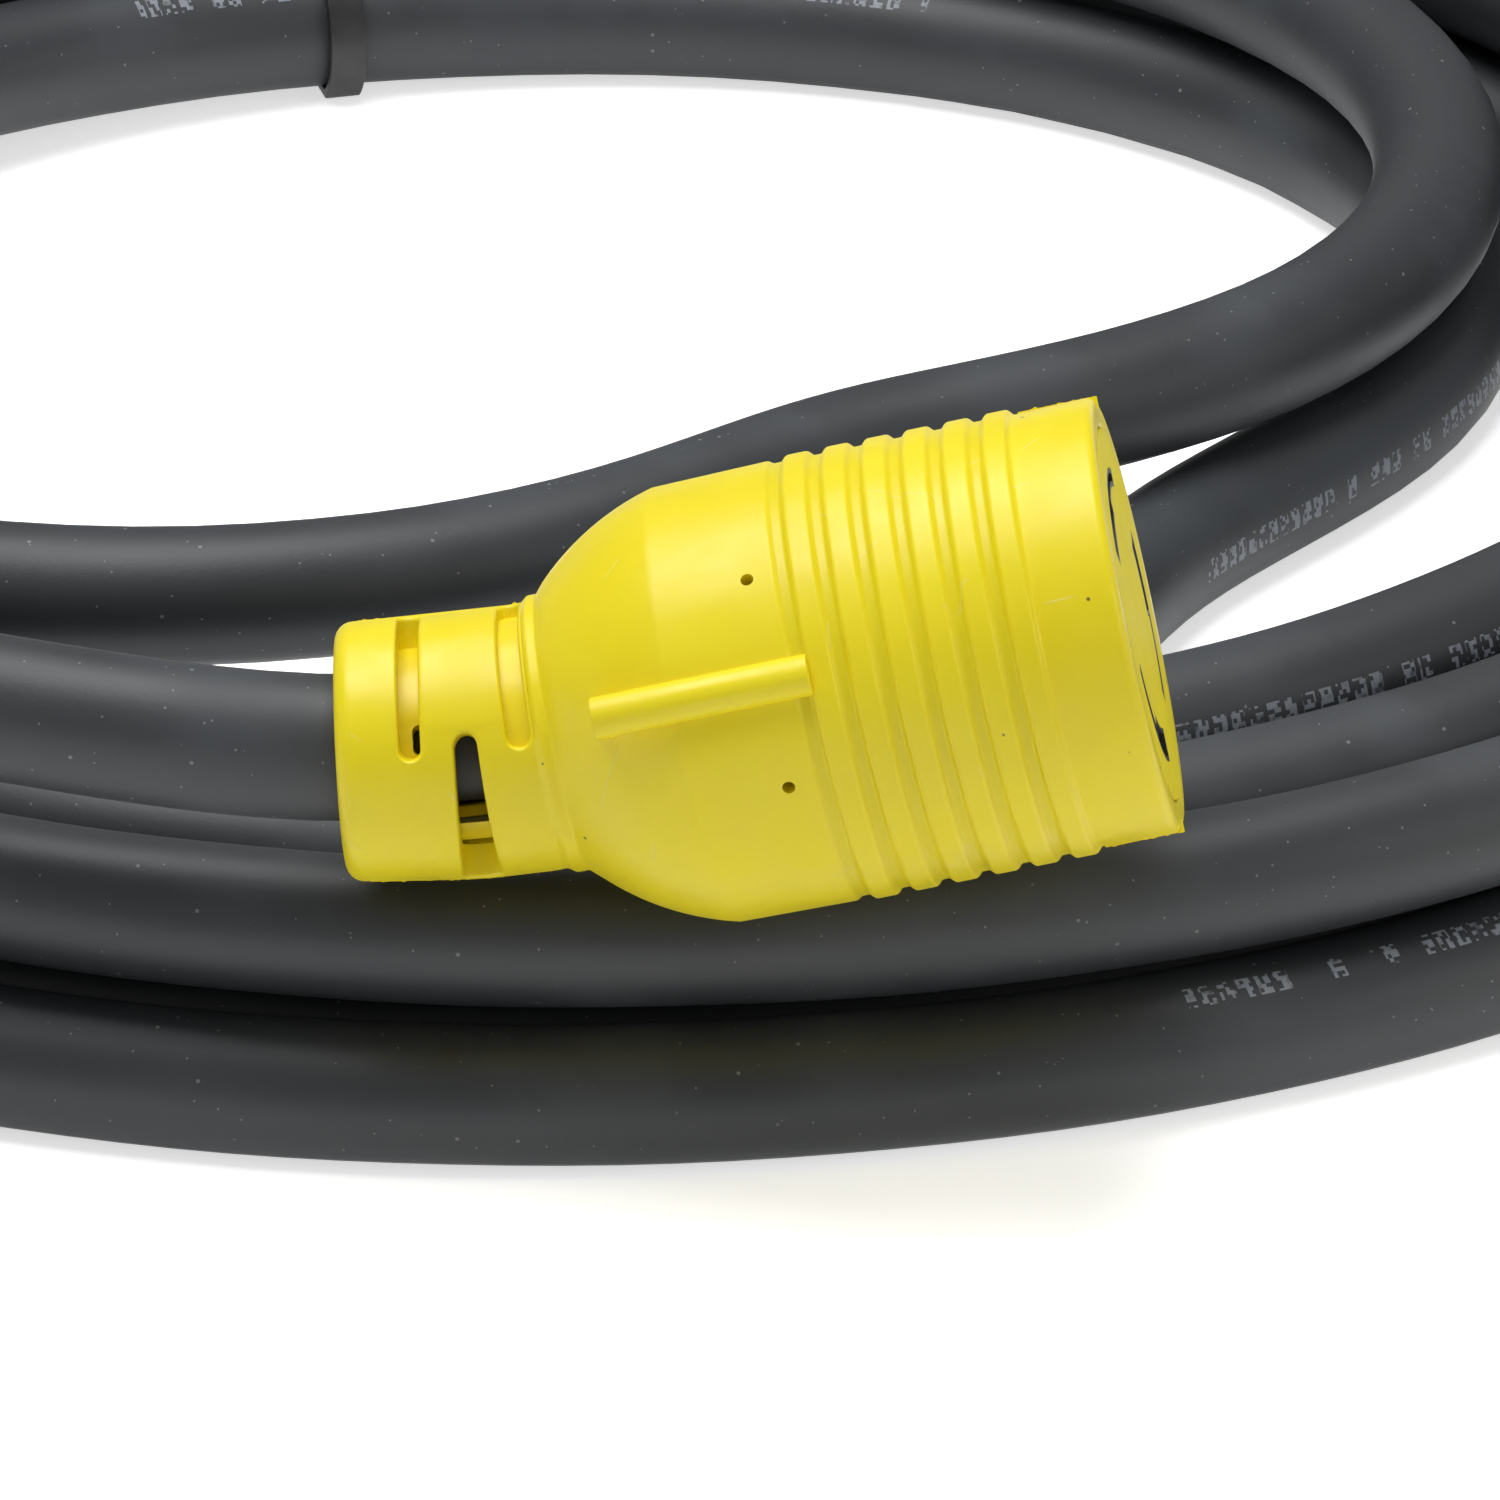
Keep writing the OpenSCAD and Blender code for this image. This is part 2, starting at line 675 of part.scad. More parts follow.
module plug_insert() {
    color(face_yellow) at_plug() difference() {
        translate([0, 0, insert_s]) cylinder(r = insert_r, h = insert_t);
        for (i = [1, 2]) at_blade(i)
            translate([-blade_w / 2 - 0.1, -blade_t / 2 - 0.1, insert_s - 1])
                cube([blade_w + 0.2, blade_t + 0.2, insert_t + 2]);
        translate([plug_spots[0][0], 0, insert_s - 1])
            cylinder(d = shank_d + 0.2, h = insert_t + 2);
    }
}

module crimp(h) {
    difference() {
        cylinder(r = barrel_out_r, h = h);
        translate([0, 0, -1]) cylinder(r = barrel_bore_r, h = h);
    }
}

module blade(i) {
    tip = 1.6;
    color(brass) at_plug() at_blade(i) {
        translate([0, blade_t / 2, insert_s - blade_back]) rotate([90, 0, 0])
            linear_extrude(blade_t) polygon([
                [-blade_w / 2, 0],
                [blade_w / 2, 0],
                [blade_w / 2, blade_back + insert_t + blade_len - tip],
                [blade_w / 2 - tip, blade_back + insert_t + blade_len],
                [-blade_w / 2 + tip, blade_back + insert_t + blade_len],
                [-blade_w / 2, blade_back + insert_t + blade_len - tip]
            ]);
        translate([0, 0, insert_s - blade_back - crimp_len]) crimp(crimp_len);
    }
}

module blade_hot() { blade(1); }
module blade_neutral() { blade(2); }

// Round pin with a thinner shank held in the insert
module ground_pin() {
    nose = 2;
    r = ground_d / 2;
    color(brass) at_plug() translate([plug_spots[0][0], 0, 0]) {
        translate([0, 0, insert_s - blade_back]) cylinder(d = shank_d, h = blade_back + insert_t);
        translate([0, 0, body_len]) cylinder(r = r, h = ground_len - nose);
        translate([0, 0, body_len + ground_len - nose])
            cylinder(r1 = r, r2 = r - 1.2, h = nose);
        translate([0, 0, insert_s - blade_back - crimp_len]) crimp(crimp_len);
    }
}

module plug_wire(i) {
    spot = plug_spots[i];
    at_plug() wire(atan2(spot[1], spot[0]), norm(spot), plug_wire_end_s - fit);
}

module plug_wire_green() { color(wire_green) plug_wire(0); }
module plug_wire_black() { color(wire_black) plug_wire(1); }
module plug_wire_white() { color(wire_white) plug_wire(2); }

module plug_conductors() {
    color(copper) at_plug() for (p = plug_spots)
        translate([p[0], p[1], plug_wire_end_s - fit - strip_len + 0.3])
            cylinder(d = copper_d, h = strip_len + crimp_len - 1);
}

connector_body();
connector_sleeve();
connector_jacket_end();
contact_housing();
connector_face();
contact_hot();
contact_neutral();
contact_ground();
connector_wire_black();
connector_wire_white();
connector_wire_green();
connector_conductors();
connector_lead();
cable_coil();
plug_lead();
coil_tie();
plug_body();
plug_sleeve();
plug_jacket_end();
plug_insert();
blade_hot();
blade_neutral();
ground_pin();
plug_wire_black();
plug_wire_white();
plug_wire_green();
plug_conductors();
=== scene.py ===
"""Looks of the shore power cord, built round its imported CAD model.

A coiled rubber cable runs from a moulded locking connector to a moulded plug.
Sizes are in millimetres and the meshes in metres, in the CAD model's frame.
"""

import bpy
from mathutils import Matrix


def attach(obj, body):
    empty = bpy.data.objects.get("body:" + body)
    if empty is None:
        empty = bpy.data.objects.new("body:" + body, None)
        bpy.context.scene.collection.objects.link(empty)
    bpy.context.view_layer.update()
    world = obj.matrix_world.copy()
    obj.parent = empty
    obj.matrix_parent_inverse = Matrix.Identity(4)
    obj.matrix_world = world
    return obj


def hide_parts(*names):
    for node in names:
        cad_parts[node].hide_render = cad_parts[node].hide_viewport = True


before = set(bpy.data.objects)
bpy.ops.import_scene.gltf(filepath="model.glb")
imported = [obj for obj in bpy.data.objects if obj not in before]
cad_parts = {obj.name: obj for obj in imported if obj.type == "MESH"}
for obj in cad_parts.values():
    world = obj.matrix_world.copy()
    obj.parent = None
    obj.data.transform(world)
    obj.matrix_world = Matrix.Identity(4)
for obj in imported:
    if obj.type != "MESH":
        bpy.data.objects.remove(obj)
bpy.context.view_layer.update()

import logging
from dataclasses import dataclass
from enum import Enum
from math import atan2, copysign, cos, degrees, hypot, pi, radians, sin, sqrt, tan

import bpy
from mathutils import Matrix, Vector, noise

LOG = logging.getLogger("shore_power_cord")
MM = 0.001
BODY = "root"
COIL_CENTRE = Vector((-48.2, 4.5, 0.0))
PARTING_ANGLES = (-90, 90)
Piece = bpy.types.Object
Material = bpy.types.Material
Socket = bpy.types.NodeSocket
Triple = tuple[float, float, float]
Pairs = list[tuple[float, float]]


class Join(Enum):
    """How a tool mesh is combined with a piece."""

    ADD = "UNION"
    CUT = "DIFFERENCE"


class EndKind(Enum):
    """Which of the cord's two moulded ends a piece belongs to."""

    CONNECTOR = "connector"
    PLUG = "plug"


# ---- mesh tools


def deselect_all() -> None:
    """Leaves object mode with nothing selected."""
    if bpy.context.object and bpy.context.object.mode != "OBJECT":
        bpy.ops.object.mode_set(mode="OBJECT")
    bpy.ops.object.select_all(action="DESELECT")


def take(piece: Piece) -> None:
    """Makes one object the only selected and active one."""
    deselect_all()
    piece.select_set(True)
    bpy.context.view_layer.objects.active = piece


def apply_modifier(piece: Piece, kind: str, **settings: object) -> None:
    """Adds a modifier with its settings and applies it.

    Args:
        piece: The object that takes the modifier.
        kind: Blender's name for the modifier's type.
        **settings: Values of the modifier's properties.
    """
    take(piece)
    modifier = piece.modifiers.new(kind.lower(), kind)
    for key, value in settings.items():
        setattr(modifier, key, value)
    bpy.ops.object.modifier_apply(modifier=modifier.name)


def polar(radius: float, angle: float, height: float = 0.0) -> Vector:
    """Gives the point at an angle, in radians, round the Z axis."""
    return Vector((radius * cos(angle), radius * sin(angle), height))


def fresh(name: str) -> Piece:
    """Takes the object that an operator just made, with its transform applied and a name."""
    bpy.ops.object.transform_apply(location=True, rotation=True, scale=True)
    piece = bpy.context.object
    piece.name = piece.data.name = name
    return piece


def cylinder(
    name: str, radius: float, depth: float, middle: Vector, vertices: int,
    turn: Triple = (0, 0, 0),
) -> Piece:
    """Makes a cylinder, with its sizes in millimetres.

    Args:
        name: The piece's name.
        radius: The cylinder's radius.
        depth: Its length.
        middle: Where its middle lies.
        vertices: Corners of its round ends.
        turn: Its rotation round X, Y and Z, in radians.

    Returns:
        The closed cylinder.
    """
    deselect_all()
    bpy.ops.mesh.primitive_cylinder_add(
        vertices=vertices, radius=radius * MM, depth=depth * MM, location=middle * MM,
        rotation=turn,
    )
    return fresh(name)


def tube_faces(rings: int, around: int) -> list[tuple[int, ...]]:
    """Joins rings of points, one after another, to a tube with closed ends.

    Args:
        rings: Number of rings.
        around: Points in each ring.

    Returns:
        The point numbers of each face.
    """
    faces = []
    last = (rings - 1) * around
    for i in range(0, last, around):
        for k in range(around):
            j = (k + 1) % around
            faces.append((i + k, i + j, i + around + j, i + around + k))
    return [*faces, tuple(reversed(range(around))), tuple(range(last, last + around))]


def mesh_piece(name: str, points: list[Vector], faces: list[tuple[int, ...]]) -> Piece:
    """Makes an object from points and faces.

    Args:
        name: The piece's name.
        points: Vertex positions in millimetres.
        faces: Vertex numbers of each face.

    Returns:
        The new object, at the origin, in metres.
    """
    mesh = bpy.data.meshes.new(name)
    mesh.from_pydata([p * MM for p in points], [], faces)
    mesh.update()
    piece = bpy.data.objects.new(name, mesh)
    bpy.context.scene.collection.objects.link(piece)
    return piece


def lathe(name: str, outline: Pairs, steps: int = 128) -> Piece:
    """Turns a closed outline round the Z axis.

    Args:
        name: The piece's name.
        outline: Corners as (radius, height) in millimetres, none on the axis.
        steps: Segments in the full turn.

    Returns:
        The closed ring-shaped piece.
    """
    deselect_all()
    radius, height = outline[0]
    bpy.ops.mesh.primitive_plane_add(size=MM, location=(0, 0, 0))
    piece = bpy.context.object
    piece.name = piece.data.name = name
    bpy.ops.object.mode_set(mode="EDIT")
    bpy.ops.mesh.merge(type="CENTER")
    bpy.ops.transform.translate(value=(radius * MM, 0, height * MM))
    for start, end in zip(outline, outline[1:] + outline[:1]):
        step = ((end[0] - start[0]) * MM, 0, (end[1] - start[1]) * MM)
        bpy.ops.mesh.extrude_region_move(TRANSFORM_OT_translate={"value": step})
    bpy.ops.mesh.select_all(action="SELECT")
    bpy.ops.mesh.spin(steps=steps, angle=2 * pi, center=(0, 0, 0), axis=(0, 0, 1))
    bpy.ops.mesh.select_all(action="SELECT")
    bpy.ops.mesh.remove_doubles(threshold=1e-6)
    return face_outwards(piece)


def face_outwards(piece: Piece) -> Piece:
    """Turns all faces of a closed piece outwards and gives the piece back."""
    take(piece)
    bpy.ops.object.mode_set(mode="EDIT")
    bpy.ops.mesh.select_all(action="SELECT")
    bpy.ops.mesh.normals_make_consistent(inside=False)
    bpy.ops.object.mode_set(mode="OBJECT")
    return piece


def combine(piece: Piece, tools: list[Piece], how: Join) -> None:
    """Joins tools to a piece or cuts them from it, and removes the tools.

    Args:
        piece: The object that stays.
        tools: The objects that shape it.
        how: Whether the tools add to the piece or cut it.
    """
    group = bpy.data.collections.new("tools")
    bpy.context.scene.collection.children.link(group)
    for tool in tools:
        group.objects.link(tool)
    apply_modifier(
        piece, "BOOLEAN", operation=how.value, operand_type="COLLECTION",
        collection=group, solver="EXACT",
    )
    for tool in tools:
        bpy.data.meshes.remove(tool.data)
    bpy.data.collections.remove(group)


def soften(piece: Piece, width: float, segments: int = 3, angle: float = 28) -> None:
    """Rounds every edge that is sharper than an angle.

    Args:
        piece: The piece to soften.
        width: Width of the rounding in millimetres.
        segments: Strips in each rounding.
        angle: Least angle between two faces, in degrees.
    """
    apply_modifier(
        piece, "BEVEL", width=width * MM, segments=segments, limit_method="ANGLE",
        angle_limit=radians(angle), use_clamp_overlap=True, miter_outer="MITER_ARC",
        harden_normals=False,
    )


def dress(piece: Piece, finish: Material, angle: float = 34) -> None:
    """Shades a piece and gives it its material.

    Args:
        piece: The finished piece.
        finish: Its material.
        angle: Edges flatter than this, in degrees, are shaded smooth.
    """
    take(piece)
    bpy.ops.object.shade_smooth_by_angle(angle=radians(angle))
    apply_modifier(piece, "WEIGHTED_NORMAL", keep_sharp=True, weight=60)
    piece.data.materials.append(finish)


def join(name: str, first: Piece, *others: Piece) -> Piece:
    """Joins separate meshes into one object.

    Args:
        name: The joined object's name.
        first: The object that stays.
        *others: The objects that become part of it.

    Returns:
        The joined object.
    """
    take(first)
    for other in others:
        other.select_set(True)
    bpy.ops.object.join()
    first.name = first.data.name = name
    return first


def put(piece: Piece, place: Matrix) -> None:
    """Moves a piece's mesh, built in metres, to its place given in millimetres."""
    scaled = place.copy()
    scaled.translation = place.translation * MM
    piece.data.transform(scaled @ piece.matrix_world)
    piece.matrix_world = Matrix.Identity(4)


def quarter(middle: tuple[float, float], radius: float, start: float) -> Pairs:
    """Gives a quarter circle as seven points.

    Args:
        middle: The circle's middle.
        radius: The circle's radius.
        start: Angle of the first point, in radians.

    Returns:
        The points, a quarter turn on from the start.
    """
    turns = [start + pi / 2 * i / 6 for i in range(7)]
    return [(middle[0] + radius * cos(a), middle[1] + radius * sin(a)) for a in turns]


def fillet(outline: Pairs, radius: float) -> Pairs:
    """Rounds the corners of a closed outline.

    Args:
        outline: Corners as (radius, height) in millimetres.
        radius: Radius of the rounding, less where the sides are short.

    Returns:
        The outline with an arc in place of each sharp corner.
    """
    line = []
    for i, corner in enumerate(outline):
        spot = Vector(corner)
        back = Vector(outline[i - 1]) - spot
        ahead = Vector(outline[(i + 1) % len(outline)]) - spot
        bend = pi - back.angle(ahead)
        if bend < radians(20):
            line.append(corner)
            continue
        reach = min(radius * tan(bend / 2), 0.45 * back.length, 0.45 * ahead.length)
        start, end = spot + back.normalized() * reach, spot + ahead.normalized() * reach
        for k in range(5):
            u = k / 4
            arc = start * (1 - u) ** 2 + spot * 2 * u * (1 - u) + end * u * u
            line.append((arc.x, arc.y))
    return line


def curved_bar(
    levels: Pairs, arc: tuple[float, float], middle: float, width: float,
    round_ends: bool = True,
) -> Piece:
    """Makes a bar that runs round the Z axis, used to cut curved slots.

    Args:
        levels: Radius and spread of each level, from the inside out. The bar is wider
            and longer by the spread on every side.
        arc: Start and end angle in degrees.
        middle: Height of the bar's middle.
        width: Height of the bar.
        round_ends: Whether both ends are half circles.

    Returns:
        The bar as a closed mesh.
    """
    points, faces = [], []
    steps = 8 if round_ends else 0
    count = max(2, round((arc[1] - arc[0]) / 4))
    for radius, spread in levels:
        half = width / 2 + spread
        more = degrees(spread / radius)
        end = degrees(half / radius) if round_ends else 0.0
        first, span = arc[0] - more, arc[1] - arc[0] + 2 * more
        turns = [(end * (1 - cos(a)), half * sin(a))
                 for a in (pi / 2 * k / 8 for k in range(steps))]
        columns = turns + [(end + (span - 2 * end) * k / count, half) for k in range(count + 1)]
        columns += [(span - a, h) for a, h in reversed(turns)]
        for angle, high in columns:
            a, high = radians(first + angle), max(high, 0.02)
            for z in (middle - high, middle + high):
                points.append(polar(radius, a, z))
    ring = 2 * len(columns)
    top = ring * (len(levels) - 1)
    for i in range(0, ring - 2, 2):
        faces += [(i, i + 1, i + 3, i + 2), (top + i, top + i + 2, top + i + 3, top + i + 1)]
        for k in range(0, top, ring):
            for side in (0, 1):
                j = k + i + side
                faces.append((j, j + 2, j + 2 + ring, j + ring))
    for k in range(0, top, ring):
        for j in (k, k + ring - 2):
            faces.append((j, j + 1, j + 1 + ring, j + ring))
    return face_outwards(mesh_piece("bar", points, faces))


# ---- finishes


class Nodes:
    """A node tree that is laid in code."""

    def __init__(self, tree: bpy.types.NodeTree) -> None:
        """Takes the tree."""
        self.tree = tree

    def node(self, kind: str, **inputs: object) -> bpy.types.Node:
        """Adds a node and sets or links its inputs.

        Args:
            kind: Blender's node type.
            **inputs: A property or input by name, with spaces written as underscores.

        Returns:
            The new node.
        """
        made = self.tree.nodes.new(kind)
        for key, value in inputs.items():
            if hasattr(made, key):
                setattr(made, key, value)
            else:
                self.feed(made.inputs[key.replace("_", " ").strip()], value)
        return made

    def feed(self, socket: Socket, value: object) -> None:
        """Links a socket to another one, or sets its value or colour."""
        if isinstance(value, Socket):
            self.tree.links.new(value, socket)
        else:
            socket.default_value = (*value, 1.0) if socket.type == "RGBA" else value

    def math(self, operation: str, *values: object, kind: str = "Math") -> Socket:
        """Adds a Math or VectorMath node and returns its result."""
        made = self.node("ShaderNode" + kind, operation=operation)
        for socket, value in zip(made.inputs, values):
            self.feed(socket, value)
        return made.outputs["Value" if operation == "DOT_PRODUCT" else 0]

    def times(self, first: Socket, *others: object) -> Socket:
        """Multiplies values with one another."""
        for other in others:
            first = self.math("MULTIPLY", first, other)
        return first


class Shader(Nodes):
    """A material with one Principled shader."""

    def __init__(self, name: str) -> None:
        """Starts the material."""
        self.material = bpy.data.materials.new(name)
        self.material.use_nodes = True
        super().__init__(self.material.node_tree)
        self.surface = self.tree.nodes["Principled BSDF"]

    def set(self, **inputs: object) -> None:
        """Sets or links the Principled shader's own sockets."""
        for key, value in inputs.items():
            self.feed(self.surface.inputs[key.replace("_", " ")], value)

    def mark(self, name: str) -> Socket:
        """Gives the value that each point of the mesh stores under a name."""
        return self.node("ShaderNodeAttribute", attribute_name=name).outputs["Fac"]

    def ramp(
        self, value: Socket, low: float, high: float, to_low: float = 0.0, to_high: float = 1.0
    ) -> Socket:
        """Maps a value smoothly from one range to another."""
        made = self.node(
            "ShaderNodeMapRange", interpolation_type="SMOOTHSTEP", Value=value,
            From_Min=low, From_Max=high, To_Min=to_low, To_Max=to_high,
        )
        return made.outputs["Result"]

    def mix(self, factor: object, first: object, second: object) -> Socket:
        """Mixes two colours and returns the result."""
        made = self.node("ShaderNodeMix", data_type="RGBA")
        for number, value in ((0, factor), (6, first), (7, second)):
            self.feed(made.inputs[number], value)
        return made.outputs[2]

    def place(self, scale: Triple = (1, 1, 1)) -> Socket:
        """Gives the object's coordinates, stretched along its axes."""
        where = self.node("ShaderNodeTexCoord").outputs["Object"]
        return self.node("ShaderNodeMapping", Vector=where, Scale=scale).outputs[0]

    def noise(self, scale: float, detail: float = 3.0, where: Socket | None = None) -> Socket:
        """Gives noise with a scale in features per metre."""
        where = where or self.place()
        return self.node("ShaderNodeTexNoise", Vector=where, Scale=scale, Detail=detail).outputs[0]

    def specks(self, scale: float, size: float, share: float) -> Socket:
        """Gives a mask of small scattered specks.

        Args:
            scale: Cells per metre.
            size: Radius of a speck as a share of its cell.
            share: Share of the cells that hold a speck.

        Returns:
            One on a speck and zero elsewhere.
        """
        cells = self.node("ShaderNodeTexVoronoi", Vector=self.place(), Scale=scale)
        dot = self.ramp(cells.outputs["Distance"], size, size * 0.6)
        return self.times(dot, self.chosen(cells, 0, share))

    def chosen(self, cells: bpy.types.Node, part: int, share: float) -> Socket:
        """Picks a share of a texture's cells by one part of their random colours."""
        pick = self.node("ShaderNodeSeparateColor", Color=cells.outputs["Color"])
        return self.math("LESS_THAN", pick.outputs[part], share)

    def bump(self, *layers: tuple[Socket, float]) -> Socket:
        """Lays bumps on one another, each a height and its depth in millimetres."""
        below = {}
        for height, depth in layers:
            made = self.node(
                "ShaderNodeBump", Height=height, Distance=depth * MM, Strength=1.0, **below
            )
            below = {"Normal": made.outputs[0]}
        return made.outputs[0]


@dataclass(frozen=True)
class VinylFinish:
    """Soft moulded vinyl with a satin skin, flow marks, light scratches, dust specks and painted
    shade in the grooves.
    """

    name: str
    colour: Triple
    deep: Triple
    roughness: tuple[float, float] = (0.32, 0.44)
    specks: float = 0.02
    sheen: float = 0.4
    scratch_w: float = 0.00011

    def make(self) -> Material:
        """Builds the material."""
        s = Shader(self.name)
        cloud = s.ramp(s.noise(38, 4), 0.3, 0.7)
        colour = s.mix(cloud, self.deep, self.colour)
        # painted shade: the groove floors between the ribs are darkened by their depth
        colour = s.mix(s.times(s.mark("groove_shade"), 0.8), colour, (0.77, 0.645, 0.006))
        scratch = s.math("MAXIMUM", self.scratches(s, 75, 0.3), self.scratches(s, 170, 0.25))
        colour = s.mix(s.times(scratch, 0.35), colour, (0.80, 0.76, 0.35))
        colour = s.mix(s.specks(420, 0.13, self.specks), colour, (0.16, 0.13, 0.03))
        flow = s.noise(420, 3, s.place((1, 0.12, 1)))
        s.set(
            Base_Color=colour,
            Roughness=s.ramp(s.noise(150, 4), 0.35, 0.65, *self.roughness),
            Normal=s.bump((flow, 0.010), (s.noise(2600, 2), 0.006), (scratch, 0.010)),
            Specular_IOR_Level=self.sheen,
            Subsurface_Weight=0.05,
            Subsurface_Radius=(0.9, 0.8, 0.2),
            Subsurface_Scale=0.0008,
        )
        return s.material

    def scratches(self, s: Shader, scale: float, share: float) -> Socket:
        """Gives the mask of short scratches.

        Args:
            s: The shader that takes them.
            scale: Cells per metre, with at most one scratch in each.
            share: Share of the cells that hold a scratch.

        Returns:
            One on a scratch and zero elsewhere.
        """
        where = s.place()
        cells = s.node("ShaderNodeTexVoronoi", Vector=where, Scale=scale)
        offset = s.math("SUBTRACT", where, cells.outputs["Position"], kind="VectorMath")
        way = s.math("SUBTRACT", cells.outputs["Color"], (0.5, 0.5, 0.5), kind="VectorMath")
        way = s.math("NORMALIZE", way, kind="VectorMath")
        across = s.math("ABSOLUTE", s.math("DOT_PRODUCT", offset, way, kind="VectorMath"))
        line = s.ramp(across, self.scratch_w, 0.00003)
        short = s.ramp(cells.outputs["Distance"], 0.42, 0.25)
        return s.times(line, short, s.chosen(cells, 1, share))


@dataclass(frozen=True)
class RubberFinish:
    """Matte cable rubber with fine grain, pale dust and a worn printed row."""

    name: str
    colour: Triple
    pale: Triple
    marked: bool = False
    dot_size: tuple[float, float] = (0.0005, 0.0105)
    mark_len: float = 0.0024
    row_middle: float = 0.504
    row_half: float = 0.0262

    def make(self) -> Material:
        """Builds the material."""
        s = Shader(self.name)
        worn = s.ramp(s.noise(26, 5), 0.42, 0.72)
        colour = s.mix(worn, self.colour, self.pale)
        dust = s.math("MAXIMUM", s.specks(430, 0.13, 0.10), s.specks(1100, 0.2, 0.06))
        colour = s.mix(s.times(dust, 0.5), colour, (0.30, 0.30, 0.29))
        if self.marked:
            colour = s.mix(s.times(self.printed_row(s), 0.55), colour, (0.38, 0.42, 0.48))
        s.set(
            Base_Color=colour, Roughness=s.ramp(worn, 0, 1, 0.5, 0.62), Specular_IOR_Level=0.5,
            Normal=s.bump((s.noise(260, 3), 0.03), (s.noise(1900, 3), 0.022)),
        )
        return s.material

    def printed_row(self, s: Shader) -> Socket:
        """Gives the mask of a worn row of printed marks, which spell nothing."""
        where = s.node("ShaderNodeUVMap", uv_map="along")
        parts = s.node("ShaderNodeSeparateXYZ", Vector=where.outputs[0])
        along, around = parts.outputs[0], parts.outputs[1]
        column = s.math("FLOOR", s.math("DIVIDE", along, self.dot_size[0]))
        row = s.math("FLOOR", s.math("DIVIDE", around, self.dot_size[1]))
        spot = s.node("ShaderNodeCombineXYZ", X=column, Y=row).outputs[0]
        dots = s.node("ShaderNodeTexWhiteNoise", noise_dimensions="2D", Vector=spot)
        step = s.math("DIVIDE", along, self.mark_len)
        marks = s.node("ShaderNodeTexWhiteNoise", noise_dimensions="1D", W=s.math("FLOOR", step))
        height = s.math("ABSOLUTE", s.math("SUBTRACT", around, self.row_middle))
        return s.times(
            s.math("GREATER_THAN", dots.outputs["Value"], 0.42),
            s.math("LESS_THAN", s.math("FRACT", step), 0.74),
            s.math("GREATER_THAN", marks.outputs["Value"], 0.2),
            s.math("LESS_THAN", height, self.row_half),
            s.math("GREATER_THAN", s.mark("printed"), 0.5),
            s.ramp(s.noise(700, 3), 0.25, 0.5),
        )


@dataclass(frozen=True)
class MetalFinish:
    """Bare stamped metal with fine drawing lines and slight tarnish."""

    name: str
    colour: Triple
    tarnish: Triple

    def make(self) -> Material:
        """Builds the material."""
        s = Shader(self.name)
        colour = s.mix(s.ramp(s.noise(160, 5), 0.45, 0.75), self.colour, self.tarnish)
        lines = s.noise(900, 2, s.place((1, 1, 0.08)))
        s.set(
            Base_Color=colour, Metallic=1.0,
            Roughness=s.ramp(lines, 0.3, 0.7, 0.2, 0.38), Normal=s.bump((lines, 0.008)),
        )
        return s.material


@dataclass(frozen=True)
class HardPlasticFinish:
    """Hard plastic, such as an insulation skin, the housing block or the tie."""

    name: str
    colour: Triple
    pale: Triple
    gloss: float = 0.35

    def make(self) -> Material:
        """Builds the material."""
        s = Shader(self.name)
        colour = s.mix(s.ramp(s.noise(90, 4), 0.4, 0.7), self.colour, self.pale)
        s.set(
            Base_Color=colour,
            Roughness=s.ramp(s.noise(400, 3), 0.3, 0.7, self.gloss, self.gloss + 0.12),
            Normal=s.bump((s.noise(1500, 2), 0.01)),
        )
        return s.material


VINYL = VinylFinish("moulded_vinyl", (0.87, 0.725, 0.012), (0.83, 0.68, 0.010))
SLEEVE_VINYL = VinylFinish("sleeve_vinyl", (0.83, 0.68, 0.012), (0.78, 0.63, 0.010))
FACE_VINYL = VinylFinish(
    "face_vinyl", (0.88, 0.74, 0.014), (0.84, 0.69, 0.012), (0.5, 0.6), 0.02, 0.2
)
CABLE_RUBBER = RubberFinish("cable_rubber", (0.030, 0.0335, 0.038), (0.051, 0.057, 0.064), True)
END_RUBBER = RubberFinish("cut_end_rubber", (0.027, 0.028, 0.031), (0.04, 0.042, 0.046))
BRASS = MetalFinish("stamped_brass", (0.80, 0.58, 0.25), (0.52, 0.33, 0.14))
COPPER = MetalFinish("bare_copper", (0.86, 0.42, 0.24), (0.48, 0.2, 0.11))
# painted shade: the dark housing block and slot linings stand for the shade inside the face's slots
SLOT_SHADE_PLASTIC = HardPlasticFinish("slot_shade_plastic", (0.02, 0.02, 0.022), (0.035, 0.035, 0.037))
TIE_NYLON = HardPlasticFinish("tie_nylon", (0.018, 0.018, 0.02), (0.03, 0.03, 0.032), 0.4)
SKIN_BLACK = HardPlasticFinish("black_insulation", (0.014, 0.014, 0.016), (0.022, 0.022, 0.024))
SKIN_WHITE = HardPlasticFinish("white_insulation", (0.76, 0.76, 0.73), (0.82, 0.82, 0.79))
SKIN_GREEN = HardPlasticFinish("green_insulation", (0.02, 0.26, 0.07), (0.03, 0.33, 0.09))


# ---- places


@dataclass(frozen=True)
class Bend:
    """One bend of a neck: where it starts, over what run, and by how many degrees."""

    foot: float
    run: float
    angle: float

    def bent(self, spot: Vector) -> Vector:
        """Bends a point upwards, if it lies between the bend's foot and the mouth."""
        past = self.foot - spot.z
        if past <= 0:
            return spot
        full = radians(self.angle)
        turn = full * min(1.0, past / self.run)
        rest = max(0.0, past - self.run)
        radius = self.run / full
        aside = radius * (1 - cos(turn)) + rest * sin(turn)
        back = radius * sin(turn) + rest * cos(turn)
        across = spot.x * cos(turn) - aside
        return Vector((across, spot.y, self.foot - back - spot.x * sin(turn)))


